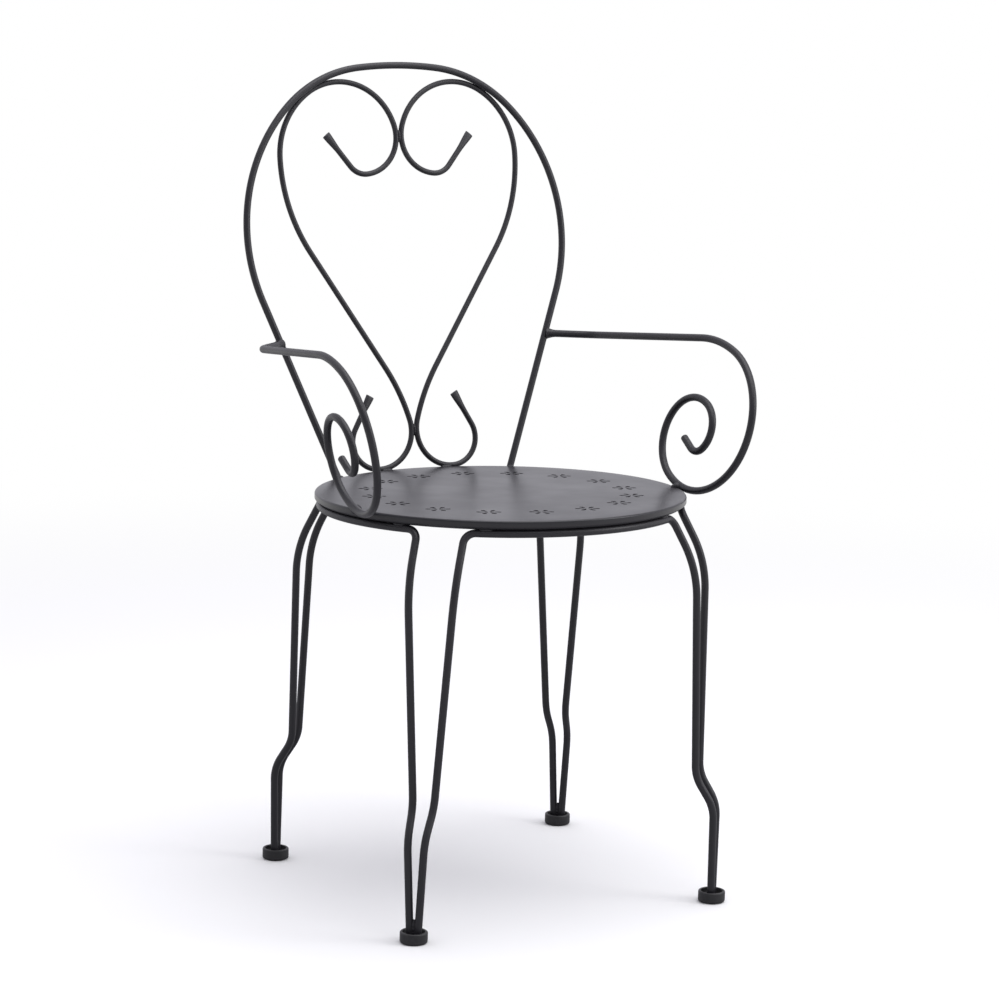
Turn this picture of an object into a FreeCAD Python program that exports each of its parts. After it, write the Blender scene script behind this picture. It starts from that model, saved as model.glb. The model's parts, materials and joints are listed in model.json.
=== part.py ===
"""Garden armchair of bent round rod with a flat round sheet seat.

The chair faces -Y and stands on z = 0, in millimetres.  Two mirrored scrolls fill a
rounded back hoop, two rods curl into armrests, and four U-shaped frames hang under
the seat rim, so that two rods come together in each of the four feet.  The seat, and
all that stands on it, is pitched back a little over the level feet.
"""
import FreeCAD, Part
import math
import os
import Sketcher
from FreeCAD import Placement, Rotation, Vector

UP = Vector(0, 0, 1)
SIDE = Vector(1, 0, 0)
NO_TURN = Rotation()
BOW = slice(1, -1)
CROWN = slice(3, 6)
UPPER_LOOP = slice(1, 4)
LOWER_LOOP = slice(7, 9)
FOOT = slice(8, 10)
FIRST_SCROLL_ANGLE = 230.0
SETTLING_STEPS = 30
BEND_SHARE = 0.98
ROUNDING_SHARE = 0.9
SAME_RADIUS = 0.001

SIZES = {
    # Clearances and welds.
    "touch_gap": 0.3,
    "weld_radius": 3.6,
    "weld_length": 14.0,
    "arm_weld_radius": 6.2,
    "ring_weld_turn": 3.0,
    # Flat seat sheet with its turned-down rim.
    "seat_height": 450.0,
    "seat_pitch": 1.6,
    "seat_radius": 208.5,
    "seat_rest_radius": 180.0,
    "sheet_gauge": 1.8,
    "rim_round": 2.2,
    "rim_depth": 7.5,
    # Flower cut-outs of the seat.
    "flower_count": 16,
    "flower_circle": 147.0,
    "petal_count": 6,
    "petal_start": 36.0,
    "petal_inner": 1.6,
    "petal_outer": 13.8,
    "petal_width": 4.9,
    # Rods.
    "ring_rod": 8.0,
    "frame_rod": 8.5,
    "hoop_rod": 8.0,
    "scroll_rod": 6.5,
    "arm_rod": 8.5,
    # Feet.
    "foot_circle": 257.6,
    "cap_radius": 15.2,
    "cap_height": 12.5,
    "cap_wall": 3.0,
    "cap_floor": 2.5,
    "cap_round": 2.0,
    "disc_thickness": 4.0,
    "foot_weld_height": 17.0,
    "foot_weld_depth": 3.0,
    # Leg frames: the knees stand over the feet, the shoulders hang under the seat.
    "leg_bearing": 47.1,
    "outer_knee_level": 110.6,
    "outer_knee_spread": 9.6,
    "outer_knee_bend": 48.3,
    "inner_knee_reach": 236.2,
    "inner_knee_level": 144.9,
    "inner_knee_spread": 12.0,
    "inner_knee_bend": 45.4,
    "shoulder_reach": 230.6,
    "shoulder_drop": 70.8,
    "shoulder_spread": 26.4,
    "shoulder_bend": 129.5,
    "rim_arc_start": 11.0,
    "rim_corner_run": 12.0,
    "rim_corner_bend": 14.0,
    # Back hoop, in its own leaning plane.
    "hoop_lean": 10.1,
    "hoop_foot_spread": 111.0,
    "hoop_foot_drop": 8.0,
    "hoop_foot_gap": 0.8,
    "hoop_rise_angle": 69.0,
    "hoop_rise_run": 227.0,
    "hoop_side_radius": 209.0,
    "hoop_side_turn": 66.2,
    "hoop_shoulder_radius": 159.0,
    "hoop_shoulder_turn": 38.5,
    # Scrolls of the back, in their own leaning plane.
    "scroll_behind_hoop": 4.3,
    "scroll_foot_rise": 0.9,
    "scroll_tip_run": 47.6,
    "scroll_curl_radius": 24.3,
    "scroll_curl_turn": -56.6,
    "scroll_eye_radius": 44.0,
    "scroll_eye_turn": -101.7,
    "scroll_crown_radius": 71.7,
    "scroll_crown_turn": -105.5,
    "scroll_shoulder_radius": 90.5,
    "scroll_shoulder_turn": -57.5,
    "scroll_flank_radius": 201.2,
    "scroll_flank_turn": -33.0,
    "scroll_waist_radius": 236.2,
    "scroll_waist_turn": 16.6,
    "scroll_heel_radius": 44.1,
    "scroll_heel_turn": 112.9,
    "scroll_foot_radius": 32.0,
    "scroll_foot_turn": 113.3,
    "scroll_end_run": 43.5,
    # Armrests, in their own leaning plane.
    "arm_yaw": 6.1,
    "arm_lean": 12.6,
    "arm_joint_rise": 152.2,
    "arm_joint_inset": 3.0,
    "arm_corner_setback": 167.1,
    "arm_corner_rise": 156.1,
    "arm_corner_bend": 33.8,
    "arm_rest_angle": 175.6,
    "arm_rest_run": 202.5,
    "arm_brow_radius": 137.8,
    "arm_brow_turn": 26.8,
    "arm_front_radius": 86.0,
    "arm_front_turn": 86.9,
    "arm_under_radius": 81.8,
    "arm_under_turn": 104.2,
    "arm_heel_radius": 50.7,
    "arm_heel_turn": 103.0,
    "arm_inner_radius": 44.0,
    "arm_inner_turn": 72.7,
    "arm_curl_radius": 31.4,
    "arm_curl_turn": 66.4,
    "arm_eye_radius": 31.2,
    "arm_eye_turn": 42.0,
    "arm_tip_radius": 16.4,
    "arm_tip_turn": 76.6,
    "arm_tip_run": 18.8,
}

DERIVED = {
    "ring_radius": "=seat_radius - sheet_gauge - touch_gap - ring_rod / 2",
    "ring_drop": "=sheet_gauge + touch_gap + ring_rod / 2",
    "frame_drop": "=ring_drop + ring_rod / 2 + touch_gap + frame_rod / 2",
    "disc_radius": "=cap_radius - cap_wall - touch_gap",
    "foot_top": "=cap_floor + disc_thickness",
    "foot_spread": "=frame_rod / 2 + touch_gap / 2",
    "scroll_half_gap": "=scroll_rod / 2 + touch_gap / 2",
}

FEET = {"front_left": 3, "front_right": 4, "rear_right": 1, "rear_left": 2}
FRAMES = {"rear": (1, 2), "left": (2, 3), "front": (3, 4), "right": (4, 5)}


def fill_sheet(document):
    """Write every driving and derived size into a spreadsheet and return the sheet."""
    table = document.addObject("Spreadsheet::Sheet", "sizes")
    for row, (alias, value) in enumerate({**SIZES, **DERIVED}.items(), 1):
        table.set(f"A{row}", alias)
        table.set(f"B{row}", str(value))
        table.setAlias(f"B{row}", alias)
    document.recompute()
    return table


doc = FreeCAD.newDocument("garden_armchair")
sheet = fill_sheet(doc)


def size(alias):
    """Return one value of the sheet as a plain number."""
    return float(sheet.get(alias))


def radians(alias):
    """Return one angle of the sheet in radians."""
    return math.radians(size(alias))


def bind(feature, **bindings):
    """Tie properties of a feature to expressions of the sheet's values."""
    for name, expression in bindings.items():
        feature.setExpression(name, expression)


def bends(*names):
    """Return (radius, turn) pairs of the named bends of a rod."""
    return [(size(f"{name}_radius"), size(f"{name}_turn")) for name in names]


def run(length):
    """Return a straight run in the form that chain() takes."""
    return (length, 0.0)


def chain(start, heading, moves):
    """Lay straight runs and tangent arcs end to end in the XY plane.

    Each move is (length, 0) for a run or (radius, turn in degrees) for an arc, where a
    positive turn goes to the left.  Returns the curves, the last point and the heading.
    """
    curves = []
    point = Vector(start)
    angle = math.radians(heading)
    for extent, turn in moves:
        ahead = Vector(math.cos(angle), math.sin(angle), 0)
        if turn == 0.0:
            far = point + ahead * extent
            curves.append(Part.LineSegment(point, far))
            point = far
            continue
        side = math.copysign(1.0, turn)
        centre = point + Vector(-ahead.y, ahead.x, 0) * (side * extent)
        spoke = point - centre
        middle = centre + Rotation(UP, turn / 2).multVec(spoke)
        far = centre + Rotation(UP, turn).multVec(spoke)
        curves.append(Part.Arc(point, middle, far))
        angle += math.radians(turn)
        point = far
    return curves, point, math.degrees(angle)


def joined(curves):
    """Return one wire of curves that follow each other."""
    return Part.Wire([curve.toShape() for curve in curves])


def outline_box(curves):
    """Return the bounding box of plane curves."""
    return joined(curves).BoundBox


def bent_wire(corners, radii):
    """Return the curves of a rod through corners, each rounded by a tangent arc.

    An arc is made smaller where its two runs leave no room for it.
    """
    reaches = []
    turns = []
    for before, corner, after, radius in zip(corners, corners[1:], corners[2:], radii):
        turn = (corner - before).getAngle(after - corner)
        turns.append(turn)
        reaches.append(radius * math.tan(turn / 2))
    ends = [0.0] + reaches + [0.0]
    for index in range(len(corners) - 1):
        length = (corners[index + 1] - corners[index]).Length
        wanted = ends[index] + ends[index + 1]
        if wanted > BEND_SHARE * length:
            ends[index] *= BEND_SHARE * length / wanted
            ends[index + 1] *= BEND_SHARE * length / wanted
    curves = []
    point = corners[0]
    for index, corner in enumerate(corners[1:-1], 1):
        back = (corners[index - 1] - corner).normalize()
        ahead = (corners[index + 1] - corner).normalize()
        reach = ends[index]
        turn = turns[index - 1]
        entry = corner + back * reach
        leave = corner + ahead * reach
        inward = (back + ahead).normalize()
        depth = reach * (1 / math.sin(turn / 2) - 1 / math.tan(turn / 2))
        curves.append(Part.LineSegment(point, entry))
        curves.append(Part.Arc(entry, corner + inward * depth, leave))
        point = leave
    curves.append(Part.LineSegment(point, corners[-1]))
    return curves


def hoop_moves():
    """Return the start, heading and moves of the right half of the hoop, foot to crown."""
    start = Vector(size("hoop_foot_spread"), -size("hoop_foot_drop"), 0)
    moves = [run(size("hoop_rise_run"))] + bends("hoop_side", "hoop_shoulder")
    _, point, heading = chain(start, size("hoop_rise_angle"), moves)
    turn_left = 180.0 - heading
    crown_radius = point.x / math.sin(math.radians(turn_left))
    return start, size("hoop_rise_angle"), moves + [(crown_radius, turn_left)]


def hoop_curves():
    """Return the whole hoop in its plane, from the right foot over to the left foot."""
    start, heading, moves = hoop_moves()
    crown = moves[-1]
    back_down = moves[-2::-1]
    whole = moves[:-1] + [(crown[0], 2 * crown[1])] + back_down
    return chain(start, heading, whole)[0]


def scroll_curves(heading, flank_run):
    """Return the right scroll in its plane, from the upper tip to the lower tip.

    The scroll is set beside the centre line, where it meets its mirror image, and a
    little above the seat.
    """
    moves = [run(size("scroll_tip_run"))]
    moves += bends("scroll_curl", "scroll_eye", "scroll_crown", "scroll_shoulder", "scroll_flank")
    moves += [run(flank_run)]
    moves += bends("scroll_waist", "scroll_heel", "scroll_foot")
    moves += [run(size("scroll_end_run"))]
    box = outline_box(chain(Vector(), heading, moves)[0])
    start = Vector(size("scroll_half_gap") - box.XMin, size("scroll_foot_rise") - box.YMin, 0)
    return chain(start, heading, moves)[0]


def wire(curves, placement):
    """Return the wire of curves drawn in the XZ plane of a placement."""
    upright = Placement(Vector(), Rotation(SIDE, 90))
    return joined(curves).transformGeometry((placement * upright).toMatrix())


def nearest(first, second):
    """Return where two curves come closest, on the first and on the second."""
    _, pairs, _ = first.distToShape(second)
    return pairs[0]


def leaning(setback, lean):
    """Return the placement of a plane that leans back behind the centre of the seat."""
    return Placement(Vector(0, setback, 0), Rotation(SIDE, -lean))


def hoop_setback():
    """Return how far behind the seat axis the hoop's plane crosses the seat height."""
    reach = size("seat_radius") + size("hoop_rod") / 2 + size("hoop_foot_gap")
    at_foot = math.sqrt(reach ** 2 - size("hoop_foot_spread") ** 2)
    return at_foot + size("hoop_foot_drop") * math.sin(radians("hoop_lean"))


def settled_scroll():
    """Return the right scroll, how far it stands behind the seat axis, and its lean.

    Step by step, the long run grows until the scroll reaches the hoop, the whole scroll
    turns until its upper and its lower loop are equally near the centre line, the plane
    leans until the scroll passes behind the hoop, and it moves until its foot touches
    the rounded edge of the rim.
    """
    hoop = wire(HOOP[BOW], leaning(hoop_setback(), size("hoop_lean")))
    rounding = Part.makeCircle(size("seat_radius") - size("rim_round"), Vector(0, 0, -size("rim_round")))
    hoop_touch = (size("hoop_rod") + size("scroll_rod")) / 2 + size("touch_gap")
    rim_touch = size("rim_round") + size("scroll_rod") / 2 + size("touch_gap")
    heading = FIRST_SCROLL_ANGLE
    flank_run = size("hoop_rise_run") / 2
    setback = size("seat_radius")
    lean = size("hoop_lean")
    for _ in range(SETTLING_STEPS):
        scroll = scroll_curves(heading, flank_run)
        upper = outline_box(scroll[UPPER_LOOP])
        lower = outline_box(scroll[LOWER_LOOP])
        heading += math.degrees((upper.XMin - lower.XMin) / (upper.YMin - lower.YMin))
        standing = leaning(setback, lean)
        near, far = nearest(wire(scroll[CROWN], standing), hoop)
        flank_run += (far - near).Length - hoop_touch
        lean += math.degrees((far.y + size("scroll_behind_hoop") - near.y) / near.z)
        setback += rim_touch - wire(scroll[FOOT], standing).distToShape(rounding)[0]
    return scroll_curves(heading, flank_run), setback, lean


HOOP = hoop_curves()
SCROLL, SCROLL_SETBACK, SCROLL_LEAN = settled_scroll()


def highest(curves, standing):
    """Return the point of a rod of the back that lies highest up its leaning plane."""
    return standing.multVec(Vector(0, 0, outline_box(curves).YMax))


def footprint_middle():
    """Return how far behind the seat axis the middle of the chair's footprint box lies."""
    pitch = Rotation(SIDE, -size("seat_pitch"))
    hoop_top = pitch.multVec(highest(HOOP, leaning(hoop_setback(), size("hoop_lean"))))
    scroll_top = pitch.multVec(highest(SCROLL, leaning(SCROLL_SETBACK, SCROLL_LEAN)))
    rear = max(hoop_top.y + size("hoop_rod") / 2, scroll_top.y + size("scroll_rod") / 2)
    front = pitch.multVec(Vector(0, -size("seat_radius"), -size("rim_depth"))).y
    return (front + rear) / 2


# The origin lies under the middle of the chair's footprint box.  AXIS stands under the
# middle of the seat, and SEAT_TOP is the frame of the seat and of all that stands on it.
AXIS = Vector(0, -footprint_middle(), 0)
SEAT_TOP = Placement(AXIS + UP * size("seat_height"), Rotation(SIDE, -size("seat_pitch")))
HOOP_PLANE = SEAT_TOP * leaning(hoop_setback(), size("hoop_lean"))
SCROLL_PLANE = SEAT_TOP * leaning(SCROLL_SETBACK, SCROLL_LEAN)


def below_top(drop):
    """Return the frame of the seat at a depth below its top."""
    return SEAT_TOP * Placement(UP * -drop, NO_TURN)


def around_floor(point, degrees):
    """Turn a point of the floor's frame about the upright through the middle of the seat."""
    return AXIS + Rotation(UP, degrees).multVec(point)


def around_seat(point, degrees):
    """Turn a point of the pitched seat's frame about the seat's own axis."""
    return SEAT_TOP.multVec(Rotation(UP, degrees).multVec(point))


def sketch_in(body, name, plane_role):
    """Add a sketch to a body on one of its origin planes."""
    drawing = body.newObject("Sketcher::SketchObject", name)
    plane = [item for item in body.Origin.OriginFeatures if item.Role == plane_role][0]
    drawing.AttachmentSupport = [(plane, "")]
    drawing.MapMode = "FlatFace"
    return drawing


def polyline(drawing, points):
    """Draw a closed outline of straight lines."""
    for near, far in zip(points, points[1:] + points[:1]):
        drawing.addGeometry(Part.LineSegment(near, far), False)


def revolve(body, drawing, name):
    """Turn a profile once round the body's Z axis, which is the sketch's upright axis."""
    turned = body.newObject("PartDesign::Revolution", name)
    turned.Profile = drawing
    turned.ReferenceAxis = (drawing, ["V_Axis"])
    turned.Angle = 360.0
    drawing.Visibility = False
    return turned


def plane_rod(name, curves, rod_alias, placement):
    """Make a rod along curves of the XZ plane as a body with a path and a round section."""
    body = doc.addObject("PartDesign::Body", name)
    path = sketch_in(body, f"{name}_path", "XZ_Plane")
    path.addGeometry(curves, False)
    doc.recompute()
    section = body.newObject("Sketcher::SketchObject", f"{name}_section")
    section.AttachmentSupport = [(path, "Edge1")]
    section.MapMode = "NormalToEdge"
    section.MapPathParameter = 0.0
    section.addGeometry(Part.Circle(Vector(), UP, size(rod_alias) / 2), False)
    section.addConstraint(Sketcher.Constraint("Diameter", 0, size(rod_alias)))
    section.setExpression("Constraints[0]", f"sizes.{rod_alias}")
    pipe = body.newObject("PartDesign::AdditivePipe", f"{name}_pipe")
    pipe.Profile = section
    pipe.Spine = (path, [f"Edge{number}" for number in range(1, len(curves) + 1)])
    body.Placement = placement
    return body


def spun_rod(name, curves, rod_alias):
    """Make a rod along curves in space by sweeping a circle from their first point."""
    path = doc.addObject("Part::Feature", f"{name}_path")
    path.Shape = joined(curves)
    first = curves[0]
    ahead = first.EndPoint - first.StartPoint
    circle = doc.addObject("Part::Circle", f"{name}_section")
    bind(circle, Radius=f"sizes.{rod_alias} / 2")
    circle.Placement = Placement(first.StartPoint, Rotation(UP, ahead))
    rod = doc.addObject("Part::Sweep", f"{name}_rod")
    rod.Sections = [circle]
    rod.Spine = (path, [f"Edge{number}" for number in range(1, len(curves) + 1)])
    rod.Solid = True
    rod.Frenet = False
    return rod


def cut(name, base, tools):
    """Cut a solid by its neighbours, one after the other, so that it fits them face to face."""
    shaped = base
    for number, tool in enumerate(tools, 1):
        step = doc.addObject("Part::Cut", name if number == len(tools) else f"{name}_cut_{number}")
        step.Base = shaped
        step.Tool = tool
        shaped = step
    return shaped


def pair(name, right):
    """Join a piece of the right side and its mirror image into one node."""
    both = doc.addObject("Part::Compound", name)
    both.Links = [right, mirrored(f"{name}_mirrored", right)]
    return both


def mirrored(name, source):
    """Return the mirror image of a piece on the other side of the chair."""
    image = doc.addObject("Part::Mirroring", name)
    image.Source = source
    image.Base = Vector()
    image.Normal = SIDE
    return image


def in_plane(placement, curve_point):
    """Return the place in space of a point drawn in a leaning XZ plane."""
    return placement.multVec(Vector(curve_point.x, 0, curve_point.y))


def make_seat_sheet():
    """Make the seat sheet: a flat disc with a turned-down rim and flower cut-outs.

    The middle of its top, where a cushion rests, is a face of its own.
    """
    body = doc.addObject("PartDesign::Body", "seat_sheet")
    profile = sketch_in(body, "seat_profile", "XZ_Plane")
    edge = size("seat_radius")
    gauge = size("sheet_gauge")
    bend = size("rim_round")
    skirt = -size("rim_depth")
    corner = Vector(edge - bend, -bend, 0)
    slant = Vector(math.sqrt(0.5), math.sqrt(0.5), 0)
    top = [Vector(x, 0, 0) for x in (0, size("seat_rest_radius"), edge - bend)]
    outside = [Vector(edge, -bend, 0), Vector(edge, skirt, 0)]
    inside = [Vector(edge - gauge, skirt, 0), Vector(edge - gauge, -bend, 0)]
    under = [Vector(edge - bend, -gauge, 0), Vector(0, -gauge, 0), top[0]]
    for line in (top, outside + inside, under):
        for near, far in zip(line, line[1:]):
            profile.addGeometry(Part.LineSegment(near, far), False)
    outer_arc = Part.Arc(top[-1], corner + slant * bend, outside[0])
    inner_arc = Part.Arc(inside[-1], corner + slant * (bend - gauge), under[0])
    profile.addGeometry([outer_arc, inner_arc], False)
    blank = revolve(body, profile, "seat_blank")
    blank.Refine = False
    flowers = sketch_in(body, "seat_flowers", "XY_Plane")
    for number in range(int(size("flower_count"))):
        spoke = Rotation(UP, 360.0 * (number + 0.5) / size("flower_count"))
        draw_flower(flowers, spoke.multVec(Vector(size("flower_circle"), 0, 0)))
    pocket = body.newObject("PartDesign::Pocket", "seat_flower_holes")
    pocket.Profile = flowers
    pocket.Type = "ThroughAll"
    pocket.Refine = False
    body.Placement = SEAT_TOP
    return body


def draw_flower(drawing, centre):
    """Draw one flower of drop-shaped petals round a point of a sketch.

    Two straight sides start at a petal's root and touch the circle that ends it.
    """
    half = size("petal_width") / 2
    reach = size("petal_outer") - half - size("petal_inner")
    opening = math.asin(half / reach)
    side = reach * math.cos(opening)
    shoulder = (size("petal_inner") + side * math.cos(opening), side * math.sin(opening))
    corners = [(size("petal_inner"), 0), shoulder, (size("petal_outer"), 0), (shoulder[0], -shoulder[1])]
    for number in range(int(size("petal_count"))):
        spoke = Rotation(UP, size("petal_start") + 360.0 * number / size("petal_count"))
        root, left, tip, right = [centre + spoke.multVec(Vector(x, y, 0)) for x, y in corners]
        drawing.addGeometry([Part.LineSegment(root, right), Part.LineSegment(left, root)], False)
        drawing.addGeometry(Part.Arc(right, tip, left), False)


def make_seat_ring():
    """Make the rod ring that stiffens the seat inside its rim."""
    ring = doc.addObject("Part::Torus", "seat_ring")
    bind(ring, Radius1="sizes.ring_radius", Radius2="sizes.ring_rod / 2")
    ring.Placement = below_top(size("ring_drop"))
    return ring


def bearing(number):
    """Return the direction of a foot in degrees, counted round from the rear right foot."""
    if number % 2:
        return 90.0 * number - size("leg_bearing")
    return 90.0 * (number - 1) + size("leg_bearing")


def leg_corners(degrees, side):
    """Return the corners of one leg rod at a bearing, from its foot up to the rim.

    The foot and the knees stand over the floor, while the shoulder and the run on to the
    rim hang under the pitched seat.  Side is 1 or -1 along the rim.
    """
    start = radians("rim_arc_start")
    ring = size("ring_radius")
    on_rim = Vector(ring * math.cos(start), side * ring * math.sin(start), -size("frame_drop"))
    along = Vector(-math.sin(start), side * math.cos(start), 0)
    standing = [
        Vector(size("foot_circle"), side * size("foot_spread"), size("cap_floor")),
        Vector(size("foot_circle"), side * size("outer_knee_spread"), size("outer_knee_level")),
        Vector(size("inner_knee_reach"), side * size("inner_knee_spread"), size("inner_knee_level")),
    ]
    hanging = [
        Vector(size("shoulder_reach"), side * size("shoulder_spread"), -size("shoulder_drop")),
        on_rim - along * size("rim_corner_run"),
        on_rim,
    ]
    lower = [around_floor(point, degrees) for point in standing]
    return lower + [around_seat(point, degrees) for point in hanging]


def frame_curves(first, second):
    """Return the curves of a leg frame from one foot, under the rim, to the next foot."""
    bend_sizes = [size(f"{name}_bend") for name in ("outer_knee", "inner_knee", "shoulder", "rim_corner")]
    rise = leg_corners(bearing(first), 1)
    fall = leg_corners(bearing(second), -1)
    half_way = (bearing(first) + bearing(second)) / 2
    middle = around_seat(Vector(size("ring_radius"), 0, -size("frame_drop")), half_way)
    rim = [Part.Arc(rise[-1], middle, fall[-1])]
    return bent_wire(rise, bend_sizes) + rim + bent_wire(fall[::-1], bend_sizes[::-1])


def make_leg_frame(name, first, second, ground):
    """Make one U-shaped leg frame, cut flat where its feet stand on the foot discs."""
    rod = spun_rod(name, frame_curves(first, second), "frame_rod")
    return cut(name, rod, [ground])


def make_ground():
    """Make the block that levels the lower ends of the legs."""
    ground = doc.addObject("Part::Box", "ground")
    reach = 2 * size("foot_circle")
    ground.Length = 2 * reach
    ground.Width = 2 * reach
    bind(ground, Height="sizes.foot_top")
    ground.Placement = Placement(AXIS - Vector(reach, reach, 0), NO_TURN)
    return ground


def make_foot_disc(name, centre):
    """Make the steel disc that closes the two rods of a foot."""
    disc = doc.addObject("Part::Cylinder", name)
    bind(disc, Radius="sizes.disc_radius", Height="sizes.disc_thickness")
    disc.Placement = Placement(centre + UP * size("cap_floor"), NO_TURN)
    return disc


def make_foot_cap(name, centre):
    """Make the cup-shaped foot cap round a disc, with rounded outer edges."""
    body = doc.addObject("PartDesign::Body", name)
    profile = sketch_in(body, f"{name}_profile", "XZ_Plane")
    outside = size("cap_radius")
    inside = outside - size("cap_wall")
    floor = size("cap_floor")
    polyline(profile, [
        Vector(0, 0, 0), Vector(outside, 0, 0), Vector(outside, size("cap_height"), 0),
        Vector(inside, size("cap_height"), 0), Vector(inside, floor, 0), Vector(0, floor, 0),
    ])
    blank = revolve(body, profile, f"{name}_blank")
    doc.recompute()
    edges = [f"Edge{number}" for number, edge in enumerate(blank.Shape.Edges, 1) if is_rim(edge, outside)]
    rounding = body.newObject("PartDesign::Fillet", f"{name}_rounding")
    rounding.Base = (blank, edges)
    rounding.Radius = min(size("cap_round"), ROUNDING_SHARE * size("cap_wall"))
    body.Placement = Placement(centre, NO_TURN)
    return body


def is_rim(edge, radius):
    """Tell whether an edge is a full circle of the given radius."""
    circle = edge.Curve
    return circle.TypeId == "Part::GeomCircle" and abs(circle.Radius - radius) < SAME_RADIUS


def make_foot_weld(name, number, frames):
    """Make the weld between the two rods above a foot."""
    block = doc.addObject("Part::Box", f"{name}_block")
    bind(block, Length="2 * sizes.foot_weld_depth", Width="2 * sizes.foot_spread")
    bind(block, Height="sizes.foot_weld_height")
    foot = Vector(size("foot_circle") - size("foot_weld_depth"), -size("foot_spread"), size("foot_top"))
    block.Placement = Placement(around_floor(foot, bearing(number)), Rotation(UP, bearing(number)))
    return cut(name, block, frames)


def bead(name, centre, direction, length="sizes.weld_length"):
    """Make a round bar of weld metal centred on a point, before its neighbours cut it."""
    bar = doc.addObject("Part::Cylinder", name)
    bind(bar, Radius="sizes.weld_radius", Height=length)
    doc.recompute()
    turn = Rotation(UP, direction)
    bar.Placement = Placement(centre - turn.multVec(UP) * (bar.Height.Value / 2), turn)
    return bar


def lump(name, centre):
    """Make a ball of weld metal round a point, before its neighbours cut it."""
    ball = doc.addObject("Part::Sphere", name)
    bind(ball, Radius="sizes.arm_weld_radius")
    ball.Placement = Placement(centre, NO_TURN)
    return ball


def rim_circle(inset, drop):
    """Return the circle of the seat rim at an inset from its edge and a depth below its top."""
    level = below_top(drop)
    circle = Part.makeCircle(size("seat_radius") - inset, level.Base, level.Rotation.multVec(UP))
    return Part.Wire([circle])


def hoop_point(height):
    """Return the place on the hoop's right side at a height above the seat."""
    rise = height / math.cos(radians("hoop_lean"))
    level = Part.makeLine(Vector(0, rise, 0), Vector(outline_box(HOOP).XMax, rise, 0))
    place, _ = nearest(joined(HOOP), level)
    return in_plane(HOOP_PLANE, place)


def in_space(curve, placement):
    """Return a run or arc of the armrest's drawing at its place in space."""
    middle = curve.value((curve.FirstParameter + curve.LastParameter) / 2)
    drawn = (curve.StartPoint, middle, curve.EndPoint)
    near, half, far = [placement.multVec(Vector(0, point.x, point.y)) for point in drawn]
    if isinstance(curve, Part.LineSegment):
        return Part.LineSegment(near, far)
    return Part.Arc(near, half, far)


def arm_curves(beside):
    """Return the right armrest from the hoop forward over the rest and into its curl.

    Its leaning plane crosses the seat's height at a distance beside the seat axis.
    """
    tilt = Rotation(UP, size("arm_yaw")) * Rotation(Vector(0, 1, 0), size("arm_lean"))
    plane = SEAT_TOP * Placement(SIDE * beside, tilt)
    moves = [run(size("arm_rest_run"))]
    moves += bends("arm_brow", "arm_front", "arm_under", "arm_heel")
    moves += bends("arm_inner", "arm_curl", "arm_eye", "arm_tip")
    moves += [run(size("arm_tip_run"))]
    start = Vector(size("arm_corner_setback"), size("arm_corner_rise"), 0)
    curves = [in_space(curve, plane) for curve in chain(start, size("arm_rest_angle"), moves)[0]]
    corner = curves[0].StartPoint
    joint = hoop_point(size("arm_joint_rise"))
    inset = (corner - joint).normalize() * size("arm_joint_inset")
    return bent_wire([joint + inset, corner, curves[0].EndPoint], [size("arm_corner_bend")]) + curves[1:]


def settled_arm():
    """Return the right armrest, moved sideways until it touches the rounded edge of the rim."""
    rounding = rim_circle(size("rim_round"), size("rim_round"))
    rim_touch = size("rim_round") + size("arm_rod") / 2 + size("touch_gap")
    beside = size("seat_radius")
    for _ in range(SETTLING_STEPS):
        beside += rim_touch - joined(arm_curves(beside)).distToShape(rounding)[0]
    return arm_curves(beside)


ARM = settled_arm()


def make_back_welds(hoop, scrolls):
    """Make the welds that join the hoop and the two scrolls."""
    normal = SCROLL_PLANE.Rotation.multVec(Vector(0, 1, 0))
    upward = SCROLL_PLANE.Rotation.multVec(UP)
    near, far = nearest(wire(SCROLL, SCROLL_PLANE), wire(HOOP, HOOP_PLANE))
    centre = near + (far - near).normalize() * (size("scroll_rod") + size("touch_gap")) / 2
    bar = bead("scroll_hoop_bead", centre, normal.cross(far - near))
    welds = [pair("weld_scroll_hoop", cut("scroll_hoop_weld", bar, [scrolls[0], hoop]))]
    for name, curves in {"upper": SCROLL[UPPER_LOOP], "lower": SCROLL[LOWER_LOOP]}.items():
        half = wire(curves, SCROLL_PLANE)
        near, far = nearest(half, half.mirror(Vector(), SIDE))
        bar = bead(f"scroll_bead_{name}", (near + far) / 2, upward)
        welds.append(cut(f"weld_scrolls_{name}", bar, scrolls))
    return welds


def make_seat_core():
    """Make the block that keeps weld metal on the outside of the seat rim."""
    core = doc.addObject("Part::Cylinder", "seat_core")
    bind(core, Radius="sizes.seat_radius - sizes.sheet_gauge / 2")
    bind(core, Height="sizes.rim_depth - sizes.sheet_gauge / 2")
    core.Placement = below_top(size("rim_depth"))
    return core


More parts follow.
